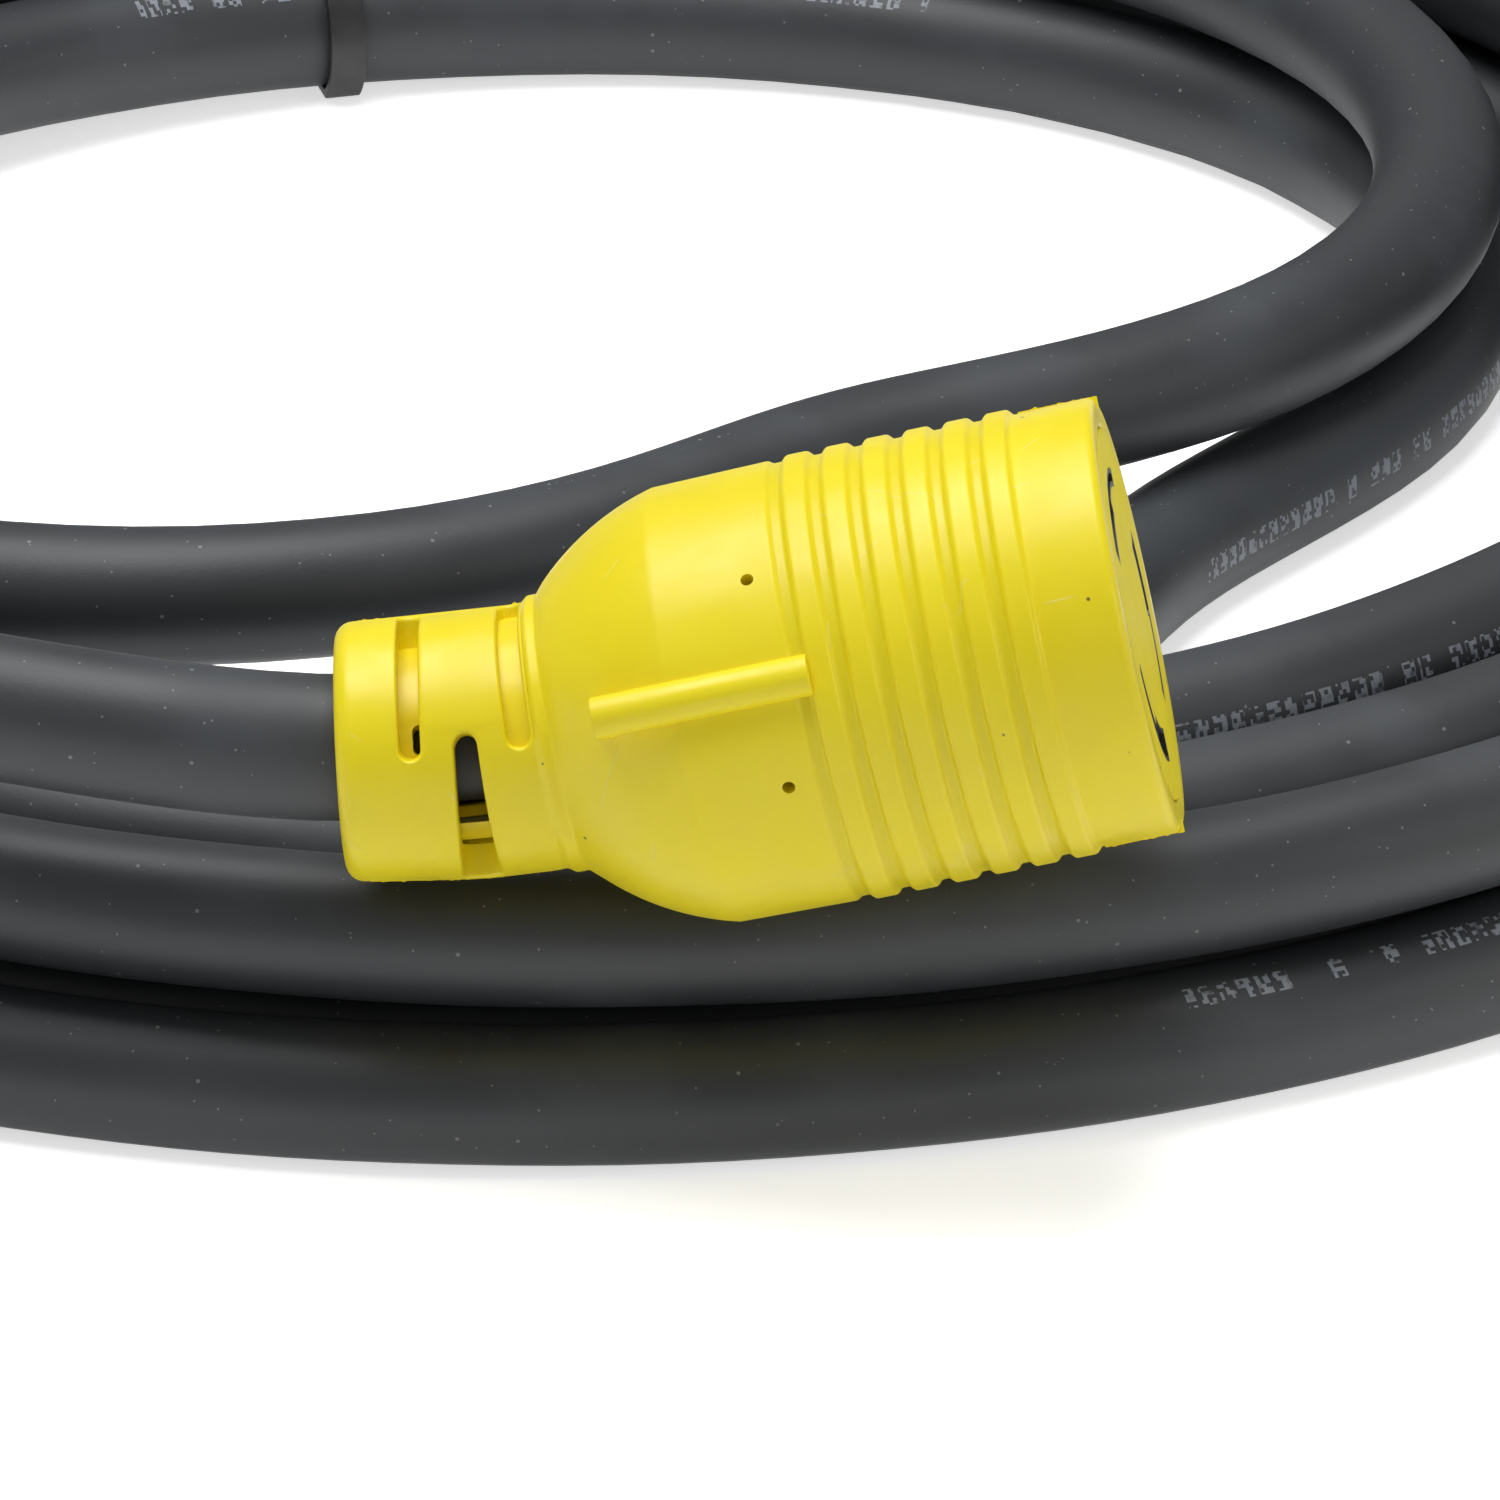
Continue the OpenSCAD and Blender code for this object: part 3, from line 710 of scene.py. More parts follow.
@dataclass(frozen=True)
class Place:
    """Where a moulded end lies: its straight axis, its turns and the bends of its neck."""

    mouth: Vector
    tilt: float
    yaw: float
    roll: float
    bends: tuple[Bend, ...] = ()

    def carry(self, spots: list[Vector]) -> list[Vector]:
        """Carries points of the end's own axes to their place, in millimetres."""
        roll = Matrix.Rotation(radians(self.roll), 3, "Z")
        place = (
            Matrix.Translation(self.mouth)
            @ Matrix.Rotation(radians(self.yaw), 4, "Z")
            @ Matrix.Rotation(radians(90 - self.tilt), 4, "Y")
        )
        spots = [roll @ spot for spot in spots]
        for bend in self.bends:
            spots = [bend.bent(spot) for spot in spots]
        return [place @ spot for spot in spots]

    def along(self, s: float) -> Vector:
        """Gives the point at a distance s along the end's bent axis."""
        return self.carry([Vector((0, 0, s))])[0]

    def seat(self, piece: Piece) -> None:
        """Carries a piece that was built round the Z axis, in metres, to its place."""
        spots = self.carry([vertex.co / MM for vertex in piece.data.vertices])
        for vertex, spot in zip(piece.data.vertices, spots):
            vertex.co = spot * MM
        piece.data.update()


CONNECTOR_PLACE = Place(
    COIL_CENTRE + Vector((-24.9, -194.5, 47.9)), 12.8, -0.2, -116,
    (Bend(17.1, 3.3, 5.6), Bend(27.1, 8.0, 4.0)),
)
PLUG_PLACE = Place(COIL_CENTRE + Vector((235, -121, 26.1)), 0, -60, 0)


# ---- cable


def ease(x: float) -> float:
    """Runs smoothly from 0 to 1."""
    c = min(1.0, max(0.0, x))
    return c * c * (3 - 2 * c)


@dataclass(frozen=True)
class CoilRoute:
    """Centre line of the coiled stretch: one layer spirals in and one out on top."""

    radius: float = 208.0
    turn_pitch: float = 17.7
    layer_pitch: float = 17.6
    low: float = 6.8
    turns_in: float = 4.45
    turns: float = 8.125
    loose_in: float = 193.0
    bunch_angle: float = 141.0
    sharp_low: float = 5.8
    sharp_high: float = 2.7
    power: float = 9.6
    climb_turns: float = 0.5
    run_on: float = 17.0
    rings: int = 96

    def climb(self, t: float) -> float:
        """Gives how far the cable has climbed to the upper layer after t turns."""
        return ease((t - self.turns_in) / self.climb_turns + 0.5)

    def point(self, t: float) -> Vector:
        """Gives the centre line after t turns."""
        inward = t if t <= self.turns_in else 2 * self.turns_in - t
        sharp = self.sharp_low + (self.sharp_high - self.sharp_low) * self.climb(t)
        side = (1 - cos(radians(360 * t - self.bunch_angle))) / 2
        loose = side**sharp * (max(0.0, inward) / self.turns_in) ** self.power
        r = self.radius - self.turn_pitch * inward - self.loose_in * loose
        angle = 2 * pi * t
        height = self.low + self.layer_pitch * self.climb(t)
        return COIL_CENTRE + polar(r, angle, height)

    def heading(self, t: float) -> Vector:
        """Gives the direction of the centre line after t turns."""
        return (self.point(t + 0.01) - self.point(t - 0.01)).normalized()

    def points(self) -> list[Vector]:
        """Gives the whole stretch, from the plug's end to the connector's end."""
        count = round(self.turns * self.rings)
        turns = [self.point(i / self.rings) for i in range(count + 1)]
        start = turns[0] - self.run_on * self.heading(0)
        end = turns[-1] + self.run_on * self.heading(self.turns)
        return [start, *turns, end]


@dataclass(frozen=True)
class CordRoute:
    """Centre line of the whole cable, from the connector's mouth to the plug's."""

    coil: CoilRoute = CoilRoute()
    lead_run: float = 6.0
    bell_len: float = 11.1
    step: float = 6.0

    def over_coil(self) -> list[Vector]:
        """Gives the stretch that lies on top of the turns, from the coil's end."""
        stops = [
            (60, 195, 30), (75, 190, 38.5), (90, 183, 42), (105, 178.5, 42), (120, 177.5, 42),
            (135, 177.5, 41.8), (150, 178, 41.8), (165, 178.5, 41.8), (180, 179.5, 41.8),
            (195, 183, 42), (210, 188, 42.3),
        ]
        return [COIL_CENTRE + polar(r, radians(a), z) for a, r, z in stops]

    def rise(self) -> list[Vector]:
        """Gives the stretch that bends up into the connector's mouth."""
        stops = [
            (-151, -118, 43), (-117, -157.2, 48.9), (-80, -181, 53.1), (-63.8, -188, 53.4),
            (-52.1, -191.2, 52.9), (-40.3, -193.4, 52.2), (-34.8, -194.1, 51.9),
        ]
        ends = [
            CONNECTOR_PLACE.along(s) + Vector((0, 0, lift))
            for s, lift in ((-3, 0.8), (3, 0.4), (self.bell_len, 0))
        ]
        return [COIL_CENTRE + Vector(p) for p in stops] + ends

    def to_plug(self) -> list[Vector]:
        """Gives the stretch from the start of the coil into the plug's mouth."""
        stops = [(210.4, -48, 9.2), (214.6, -72, 16), (222.6, -96, 22.8)]
        ends = [PLUG_PLACE.along(s) for s in (-12, -4, 8)]
        return [COIL_CENTRE + Vector(p) for p in stops] + ends

    def stops(self) -> list[Vector]:
        """Gives every chosen point, from the connector to the plug."""
        turns = self.coil.points()
        out = turns[-1] + self.lead_run * self.coil.heading(self.coil.turns)
        start = turns[0] - self.lead_run * self.coil.heading(0)
        lead = [out, *self.over_coil(), *self.rise()]
        return [*reversed(lead), *reversed(turns), start, *self.to_plug()]

    def points(self) -> list[Vector]:
        """Gives the centre line as close, evenly curving points."""
        stops = self.stops()
        stops = [2 * stops[0] - stops[1], *stops, 2 * stops[-1] - stops[-2]]
        line = [stops[1]]
        for a, b, c, d in zip(stops, stops[1:], stops[2:], stops[3:]):
            count = max(1, round((c - b).length / self.step))
            line += [self.between(a, b, c, d, k / count) for k in range(1, count + 1)]
        return line

    @staticmethod
    def between(a: Vector, b: Vector, c: Vector, d: Vector, u: float) -> Vector:
        """Gives a point between b and c on a smooth curve through a, b, c and d."""
        gap = [sqrt((q - p).length) for p, q in ((a, b), (b, c), (c, d))]
        slope_b = (b - a) / gap[0] - (c - a) / (gap[0] + gap[1]) + (c - b) / gap[1]
        slope_c = (c - b) / gap[1] - (d - b) / (gap[1] + gap[2]) + (d - c) / gap[2]
        slope_b, slope_c = slope_b * gap[1], slope_c * gap[1]
        return (
            b * (1 + 2 * u) * (1 - u) ** 2 + slope_b * u * (1 - u) ** 2
            + c * u * u * (3 - 2 * u) + slope_c * u * u * (u - 1)
        )


@dataclass
class Cable:
    """The three-core cable from mouth to mouth."""

    diameter: float = 17.0
    sides: int = 32
    squash_below: float = 1.7
    lobe: float = 0.05
    lay_length: float = 150.0
    route: CordRoute = CordRoute()
    prints: tuple[tuple[float, float, float], ...] = (
        (560, 720, -1.2), (1600, 1760, -1.2), (2520, 2680, -1.1), (3150, 3240, -0.35),
        (4430, 4540, -2.2), (4680, 4750, -0.1), (6050, 6180, -0.6), (7890, 7960, -1.1),
        (8500, 8660, -0.9),
    )

    def settle(self, point: Vector) -> Vector:
        """Flattens the underside gently where the cable rests on the floor."""
        if point.z < self.squash_below:
            lift = max(0.0, point.z + self.squash_below)
            point.z = lift * lift / (4 * self.squash_below)
        return point

    def build(self) -> Piece:
        """Builds the jacket as one tube with its length and turn in a UV map."""
        line = self.route.points()
        points, far = [], [0.0]
        last = len(line) - 1
        for i, p in enumerate(line):
            way = (line[min(i + 1, last)] - line[max(i - 1, 0)]).normalized()
            side = way.cross(Vector((0, 0, 1))).normalized()
            up = side.cross(way)
            if i:
                far.append(far[-1] + (p - line[i - 1]).length)
            twist = self.print_turn(far[-1])
            for k in range(self.sides):
                a = 2 * pi * k / self.sides
                lobe = self.lobe * cos(3 * (a - 2 * pi * far[-1] / self.lay_length))
                r = self.diameter / 2 + lobe
                turn = a + twist
                points.append(self.settle(p + (side * cos(turn) + up * sin(turn)) * r))
        n = self.sides
        piece = mesh_piece("cable_jacket", points, tube_faces(len(line), n))
        around = piece.data.uv_layers.new(name="along")
        for polygon in piece.data.polygons:
            for corner in polygon.loop_indices:
                vertex = piece.data.loops[corner].vertex_index
                ring, k = divmod(vertex, n)
                share = k / n
                if polygon.index < last * n and k == 0 and polygon.index % n == n - 1:
                    share = 1.0
                around.data[corner].uv = (far[ring] * MM, share)
        self.mark_prints(piece, far)
        take(piece)
        bpy.ops.object.shade_smooth_by_angle(angle=radians(50))
        piece.data.materials.append(CABLE_RUBBER.make())
        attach(piece, BODY)
        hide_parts("connector_lead", "cable_coil", "plug_lead")
        tuple(CONNECTOR_PLACE.along(0) * MM)
        return piece

    def print_turn(self, far: float) -> float:
        """Gives the printed row's turn round the cable, in radians, after a length."""
        stops = [(end, turn) for start, stop, turn in self.prints for end in (start, stop)]
        for (start, first), (end, second) in zip(stops, stops[1:]):
            if start <= far <= end:
                return first + (second - first) * (far - start) / (end - start)
        return stops[0][1] if far < stops[0][0] else stops[-1][1]

    def mark_prints(self, piece: Piece, far: list[float]) -> None:
        """Stores where the jacket is printed, one mark for each point."""
        shown = piece.data.attributes.new("printed", "FLOAT", "POINT")
        for i, mark in enumerate(shown.data):
            length = far[min(i // self.sides, len(far) - 1)]
            inked = any(start <= length <= end for start, end, _ in self.prints)
            mark.value = float(inked)


# ---- moulded ends


@dataclass
class Moulding:
    """One moulded end: slotted neck, dome, barrel, grip ribs and collar."""

    kind: EndKind
    place: Place
    neck_len: float = 24.0
    neck_end_r: float = 15.0
    neck_root_r: float = 15.6
    neck_ring_r: float = 16.2
    neck_edge_r: float = 2.1
    neck_ring_w: float = 1.8
    dome_len: float = 14.5
    dome_end_slope: float = 14.0
    barrel_len: float = 14.0
    barrel_r: float = 25.5
    barrel_end_r: float = 25.8
    rib_count: int = 6
    rib_pitch: float = 4.7
    rib_w: float = 3.0
    rib_r: float = 26.05
    groove_r: float = 25.4
    rib_side: float = 0.3
    collar_len: float = 9.9
    collar_r: tuple[float, float] = (25.3, 25.5)
    face_t: float = 3.3
    housing_room: float = 32.3
    insert_t: float = 11.0
    inner_r: Triple = (22.0, 19.3, 17.4)
    wires_s: tuple[float, float] = (9.9, 17.4)
    mouth_r: float = 9.5
    lip_r: float = 9.33
    lip_t: float = 2.0
    sleeve_in_r: float = 8.8
    sleeve_bore_r: float = 11.4
    slot_w: Triple = (2.5, 3.3, 2.9)
    slot_pitch: float = 6.3
    slot_start: float = 6.7
    slot_starts: Triple = (-85.5, -4.7, -86.8)
    slot_arc: float = 92.0
    slot_edge: float = 0.5
    pocket_depth: float = 1.5
    ridge_len: float = 25.3
    ridge_w: float = 4.8
    ridge_h: float = 2.6
    root_slope: float = 0.08
    root_depth: float = 2.6
    vent_d: float = 1.5
    vent_angle: float = 28.0
    vent_back: float = 3.3
    vent_depth: float = 6.0
    rim_edge: float = 1.2
    edge: float = 0.6
    fin_step: float = 0.35
    fin_w: float = 0.14
    fin_h: tuple[float, float] = (0.02, 0.24)

    @property
    def barrel_s(self) -> float:
        """Where the barrel starts."""
        return self.neck_len + self.dome_len

    @property
    def rib_s(self) -> float:
        """Where the first rib starts."""
        return self.barrel_s + self.barrel_len + self.rib_pitch - self.rib_w

    @property
    def collar_s(self) -> float:
        """Where the collar starts."""
        return self.rib_s + (self.rib_count - 1) * self.rib_pitch + self.rib_w

    @property
    def length(self) -> float:
        """Length of the whole moulding."""
        return self.collar_s + self.collar_len

    def neck_r(self, s: float) -> float:
        """Gives the neck's radius at a distance s from its end."""
        return self.neck_end_r + (self.neck_root_r - self.neck_end_r) * s / self.neck_len

    def dome(self) -> Pairs:
        """Gives the dome's outline as one arc from neck to barrel."""
        rise = self.barrel_r - self.neck_ring_r
        chord = atan2(rise, self.dome_len)
        end = radians(self.dome_end_slope)
        start = 2 * chord - end
        r = hypot(self.dome_len, rise) / (2 * sin((start - end) / 2))
        s0, r0 = self.neck_len + r * sin(start), self.neck_ring_r - r * cos(start)
        turns = [start + (end - start) * i / 20 for i in range(21)]
        return [(r0 + r * cos(a), s0 - r * sin(a)) for a in turns]

    def outline(self) -> Pairs:
        """Gives the closed outline of the wall, from the mouth round to the inside."""
        edge = self.neck_edge_r
        line = [(self.mouth_r, 0.0), *quarter((self.neck_end_r - edge, edge), edge, -pi / 2)]
        foot = self.neck_len - self.neck_ring_w
        line += [(self.neck_r(foot - 0.4), foot - 0.4), (self.neck_ring_r, foot + 0.5)]
        line += self.dome()
        end = self.barrel_s + self.barrel_len
        line += [(self.barrel_end_r, end - self.rib_side), (self.groove_r, end + self.rib_side)]
        for i in range(self.rib_count):
            s = self.rib_s + i * self.rib_pitch
            after = self.collar_r[0] if i == self.rib_count - 1 else self.groove_r
            line += [(self.groove_r, s - self.rib_side), (self.rib_r, s + self.rib_side),
                     (self.rib_r, s + self.rib_w - self.rib_side),
                     (after, s + self.rib_w + self.rib_side)]
        edge = self.rim_edge
        line += quarter((self.collar_r[1] - edge, self.length - edge), edge, 0)
        return line + self.inside()

    def inside(self) -> Pairs:
        """Gives the inner outline, from the open end back to the mouth."""
        seat_r, room_r, wires_r = self.inner_r
        line = [(seat_r, self.length)]
        if self.kind is EndKind.CONNECTOR:
            seat, back = self.length - self.face_t, self.length - self.face_t - self.housing_room
            line += [(seat_r, seat), (room_r, seat), (room_r, back), (wires_r, back)]
        else:
            seat = self.length - self.insert_t
            line += [(seat_r, seat), (wires_r, seat)]
        bore, sleeve, end = self.sleeve_in_r, self.sleeve_bore_r, self.neck_len - 0.4
        narrow, wide = self.wires_s
        return line + [(wires_r, end + wide), (bore, end + narrow), (bore, end),
                       (sleeve, end), (sleeve, self.lip_t), (self.lip_r, self.lip_t)]

    def slots(self) -> list[Piece]:
        """Makes the tools that cut the neck's slots and pockets, with rounded rims."""
        tools = []
        for i, start in enumerate(self.slot_starts):
            middle = self.slot_start + i * self.slot_pitch
            skin = self.neck_r(middle)
            floor = skin - self.pocket_depth if i == 2 else self.sleeve_bore_r - 0.5
            edge = self.slot_edge
            levels = [(floor, 0.0), *quarter((skin - edge, edge), edge, -pi / 2),
                      (skin + 1.0, edge + 0.4)]
            for half in (0, 180):
                arc = (start + half, start + half + self.slot_arc)
                tools.append(curved_bar(levels, arc, middle, self.slot_w[i]))
        return tools

    def key_ridge(self) -> Piece:
        """Makes the key ridge, round on top and rooted in the wall."""
        crown = self.barrel_r + self.ridge_h - self.ridge_w / 2
        middle = Vector((crown, 0, self.rib_s + 0.2 - self.ridge_len / 2))
        ridge = cylinder("ridge", self.ridge_w / 2, self.ridge_len, middle, 48)
        for vertex in ridge.data.vertices:
            depth = crown * MM - vertex.co.x
            if depth > 1e-5 and abs(vertex.co.y) > 1e-6:
                vertex.co.y = copysign(self.ridge_w / 2 * MM + self.root_slope * depth, vertex.co.y)
            if depth > 1e-5:
                vertex.co.x = crown * MM - depth * self.root_depth
        soften(ridge, self.edge, angle=40)
        return ridge

    def vents(self) -> list[Piece]:
        """Makes the tools that drill the two vent holes beside the ridge."""
        height = self.barrel_s + self.barrel_len - self.vent_back
        return [
            cylinder("vent", self.vent_d / 2, self.vent_depth, polar(self.barrel_r, turn, height),
                     24, (0, pi / 2, turn))
            for turn in (radians(-self.vent_angle), radians(self.vent_angle))
        ]

    def fin(self, turn: float, start: float, end: float, radius: float) -> Piece:
        """Makes one thin, uneven fin of flash along the parting line.

        Args:
            turn: The fin's angle round the axis, in degrees.
            start: Where the fin starts.
            end: Where the fin ends.
            radius: The wall's radius there, or 0 for the neck's own.

        Returns:
            The fin as a closed mesh.
        """
        way = polar(1, radians(turn))
        side = Vector((-way.y, way.x, 0)) * self.fin_w
        points = []
        count = round((end - start) / self.fin_step)
        for i in range(count + 1):
            s = start + (end - start) * i / count
            wall = radius or self.neck_r(s)
            rough = noise.noise(Vector((s * 1.3, turn, 0)))
            rough += 0.6 * noise.noise(Vector((s * 4, turn, 5)))
            high = self.fin_h[0] + self.fin_h[1] * max(0.0, rough)
            root = wall - self.rim_edge - 0.2
            for r, w in ((root, 1), (root, -1), (wall + high, -0.5), (wall + high, 0.5)):
                points.append(way * r + side * w + Vector((0, 0, s)))
        return face_outwards(mesh_piece("fin", points, tube_faces(count + 1, 4)))

    def flash(self) -> list[Piece]:
        """Makes the flash along both parting lines of the neck and the collar."""
        fins = []
        for turn in PARTING_ANGLES:
            fins.append(self.fin(turn, self.neck_edge_r + 0.6, self.neck_len - 2.9, 0))
            fins.append(self.fin(turn, self.collar_s + 0.8, self.length + 0.2, self.collar_r[1]))
        return fins

    def mark_groove_shade(self, piece: Piece) -> None:
        """Stores how deep each point lies in the grooves, for the vinyl's painted shade there."""
        depth = piece.data.attributes.new("groove_shade", "FLOAT", "POINT")
        for vertex, mark in zip(piece.data.vertices, depth.data):
            spot = vertex.co / MM
            below = (self.rib_r - hypot(spot.x, spot.y)) / (self.rib_r - self.groove_r)
            grooved = self.barrel_s + self.barrel_len < spot.z < self.collar_s
            mark.value = min(1.0, max(0.0, below)) if grooved else 0.0

    def build(self, name: str, node: str, finish: Material) -> Piece:
        """Builds the moulding in its place.

        Args:
            name: The piece's name.
            node: The CAD node that it stands for.
            finish: The vinyl's material.

        Returns:
            The finished moulding.
        """
        piece = lathe(name, fillet(self.outline(), self.edge), 144)
        if self.kind is EndKind.CONNECTOR:
            combine(piece, [self.key_ridge()], Join.ADD)
        combine(piece, self.slots(), Join.CUT)
        if self.kind is EndKind.CONNECTOR:
            combine(piece, self.vents(), Join.CUT)
        combine(piece, self.flash(), Join.ADD)
        self.mark_groove_shade(piece)
        self.place.seat(piece)
        dress(piece, finish)
        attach(piece, BODY)
        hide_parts(node)
        return piece


@dataclass
class NeckSleeve:
    """Sleeve between cable and neck, bent with the neck and open behind the middle slot."""

    body: Moulding
    start: float = 2.3
    length: float = 23.0
    out_r: float = 11.36
    bell_len: float = 8.0
    flare: float = 0.7
    edge: float = 0.3
    window_w: float = 3.5
    window_share: float = 0.62
    tear_w: float = 1.5
    tear_past: float = 1.0
    tear_arc: tuple[float, float] = (-19.0, -1.0)

    def windows(self) -> list[Piece]:
        """Makes the tools that open the sleeve behind both middle slots."""
        levels = [(self.body.sleeve_in_r - 0.5, 0.0), (self.out_r + 0.5, 0.0)]
        first, middle = self.body.slot_start, self.body.slot_start + self.body.slot_pitch
        tools = []
        for half in (0, 180):
            start = self.body.slot_starts[1] + half
            arc = (start - 4, start + self.window_share * self.body.slot_arc)
            tools.append(curved_bar(levels, arc, middle, self.window_w, False))
            end = self.body.slot_starts[0] + half + self.body.slot_arc
            arc = (end + self.tear_arc[0], end + self.tear_arc[1])
            tools.append(curved_bar(levels, arc, first + self.tear_past, self.tear_w))
        return tools

    def build(self, finish: Material) -> Piece:
        """Builds the sleeve in its place."""
        inner, end = self.body.sleeve_in_r, self.start + self.length
        mouth = inner + self.flare * (1 - self.start / self.bell_len)
        outline = [(mouth, self.start), (self.out_r, self.start), (self.out_r, end),
                   (inner, end), (inner, self.bell_len)]
        piece = lathe("neck_sleeve", fillet(outline, self.edge), 96)
        combine(piece, self.windows(), Join.CUT)
        self.body.place.seat(piece)
        dress(piece, finish)
        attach(piece, BODY)
        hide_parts("connector_sleeve")
        return piece


@dataclass
class JacketEnd:
    """Last stretch of the cable's jacket, inside the connector and bent with its neck."""

    place: Place
    start: float = 11.1
    end: float = 37.1
    radius: float = 8.5
    step: float = 2.0

    def build(self, finish: Material) -> Piece:
        """Builds the jacket's end as a solid rod in its place."""
        deselect_all()
        count = round((self.end - self.start) / self.step)
        bpy.ops.mesh.primitive_circle_add(
            vertices=48, radius=self.radius * MM, fill_type="NGON",
            location=(0, 0, self.start * MM),
        )
        piece = fresh("jacket_end")
        bpy.ops.object.mode_set(mode="EDIT")
        bpy.ops.mesh.select_all(action="SELECT")
        for _ in range(count):
            bpy.ops.mesh.extrude_region_move(
                TRANSFORM_OT_translate={"value": (0, 0, self.step * MM)}
            )
        face_outwards(piece)
        self.place.seat(piece)
        dress(piece, finish)
        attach(piece, BODY)
        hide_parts("connector_jacket_end")
        return piece


@dataclass
class ContactFace:
    """Front of the connector: a vinyl disc with three curved slots, lined dark as painted shade
    inside them.
    """

    body: Moulding
    radius: float = 21.75
    angles: Triple = (180.0, -60.0, 60.0)
    half_arc: float = 37.0
    narrow: tuple[float, float] = (15.0, 17.2)
    wide: tuple[float, float] = (13.4, 17.3)
    wall: float = 0.6
    gap: float = 0.02

    def bars(self, angle: float, inset: float, low: float, high: float) -> list[Piece]:
        """Makes the two bars that follow one slot, smaller by an inset on every side."""
        bars = []
        for (near, far), start, end in (
            (self.narrow, -self.half_arc, 1.0), (self.wide, 0.0, self.half_arc),
        ):
            trim = degrees(inset / near)
            first = angle + start + trim
            last = angle + end - (trim if end == self.half_arc else 0)
            levels = [(near + inset, 0.0), (far - inset, 0.0)]
            bars.append(curved_bar(levels, (first, last), (low + high) / 2, high - low, False))
        return bars

    def disc(self, finish: Material) -> Piece:
        """Builds the slotted disc in its place."""
        low, high = self.body.length - self.body.face_t, self.body.length
        middle = Vector((0, 0, (low + high) / 2))
        disc = cylinder("face_disc", self.radius, self.body.face_t, middle, 128)
        for angle in self.angles:
            for bar in self.bars(angle, 0.0, low - 1, high + 1):
                combine(disc, [bar], Join.CUT)
        soften(disc, 0.12, 2)
        self.body.place.seat(disc)
        dress(disc, finish)
        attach(disc, BODY)
        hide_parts("connector_face")
        return disc

    def shade_linings(self, finish: Material) -> Piece:
        """Builds the dark linings of all three slots, painted shade inside them, as one piece in
        its place.
        """
        low, high = self.body.length - self.body.face_t, self.body.length - self.gap
        rims = []
        for angle in self.angles:
            rim, more = self.bars(angle, self.gap, low, high)
            combine(rim, [more], Join.ADD)
            combine(rim, self.bars(angle, self.wall, low - 1, high + 1), Join.CUT)
            rims.append(rim)
        shade_linings = join("slot_shade_linings", *rims)
        self.body.place.seat(shade_linings)
        dress(shade_linings, finish)
        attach(shade_linings, BODY)
        return shade_linings


# ---- coil tie


@dataclass
class CoilTie:
    """Nylon band round the turns and the lead, with its locking head and cut tail."""

    angle: float = 105.0
    width: float = 4.8
    thick: float = 1.3
    clear: float = 0.6
    head: float = 7.0
    head_t: float = 4.2
    head_wall: float = 1.2
    tail: float = 8.0
    cable_r: float = 8.5
    over: tuple[float, float] = (178.5, 42.0)
    steps: int = 180

    def crossings(self, coil: CoilRoute) -> list[Vector]:
        """Gives where the cable crosses the band's plane, as (outward, up)."""
        found, t = [], self.angle / 360
        while t <= coil.turns:
            p = coil.point(t) - COIL_CENTRE
            found.append(Vector((hypot(p.x, p.y), p.z)))
            t += 1
        return [*found, Vector(self.over)]

    def loop(self, spots: list[Vector], grow: float, low: float) -> list[Vector]:
        """Gives the taut outline round the crossings, no lower than a height."""
        line = []
        for k in range(self.steps):
            a = 2 * pi * k / self.steps
            way = Vector((cos(a), sin(a)))
            spot = max(spots, key=way.dot) + way * (self.cable_r + grow)
            line.append(Vector((spot.x, max(spot.y, low))))
        return line

    def band(self, spots: list[Vector]) -> Piece:
        """Makes the band as a closed loop, whose edges build() softens afterwards."""
        inner = self.loop(spots, self.clear, self.thick + 0.05)
        outer = self.loop(spots, self.clear + self.thick, 0.05)
        points, faces = [], []
        for near, far in zip(inner, outer):
            for spot in (near, far):
                for side in (-self.width / 2, self.width / 2):
                    points.append(Vector((spot.x, spot.y, side)))
        count = len(points)
        for i in range(0, count, 4):
            for a, b in ((0, 1), (1, 3), (3, 2), (2, 0)):
                faces.append((i + a, i + b, (i + 4 + b) % count, (i + 4 + a) % count))
        return mesh_piece("coil_band", points, faces)

    def block(self, low: Triple, high: Triple) -> Piece:
        """Makes one box of the locking head from its two corners."""
        deselect_all()
        bpy.ops.mesh.primitive_cube_add(size=1)
        box = bpy.context.object
        box.scale = [(b - a) * MM for a, b in zip(low, high)]
        box.location = [(a + b) / 2 * MM for a, b in zip(low, high)]
        return fresh("block")

    def lock(self, spots: list[Vector]) -> Piece:
        """Makes the head, with the tail through it, on the bundle's outer slope."""
        low = self.cable_r + self.clear + 0.2
        top = low + self.head_t
        half, side, wall = self.head / 2, self.width / 2, self.head_wall
        head = self.block((low, -half, -side - wall), (top + 0.8, half, side + wall))
        mouth = self.block((top - 1.2, -half - 1, -side + 0.1), (top + 0.4, half + 1, side - 0.1))
        combine(head, [mouth], Join.CUT)
        tail = self.block((top - 0.9, -half + 0.4, -side + 0.3),
                          (top + 0.3, half + self.tail, side - 0.3))
        for part, edge in ((head, 0.5), (tail, 0.25)):
            soften(part, edge)
        join("lock", head, tail)
        first, last = spots[0], spots[-1]
        slope = atan2(last.y - first.y, last.x - first.x) - pi / 2
        middle = (first + last) / 2
        put(head, Matrix.Translation((middle.x, middle.y, 0)) @ Matrix.Rotation(slope, 4, "Z"))
        return head

    def build(self) -> Piece:
        """Builds the tie in its place."""
        spots = self.crossings(CoilRoute())
        band = self.band(spots)
        soften(band, 0.35)
        band = join("coil_band", band, self.lock(spots))
        place = (
            Matrix.Translation(COIL_CENTRE) @ Matrix.Rotation(radians(self.angle), 4, "Z")
            @ Matrix.Rotation(pi / 2, 4, "X")
        )
        put(band, place)
        dress(band, TIE_NYLON.make())
        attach(band, BODY)
        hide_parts("coil_tie")
        return band


# ---- studio


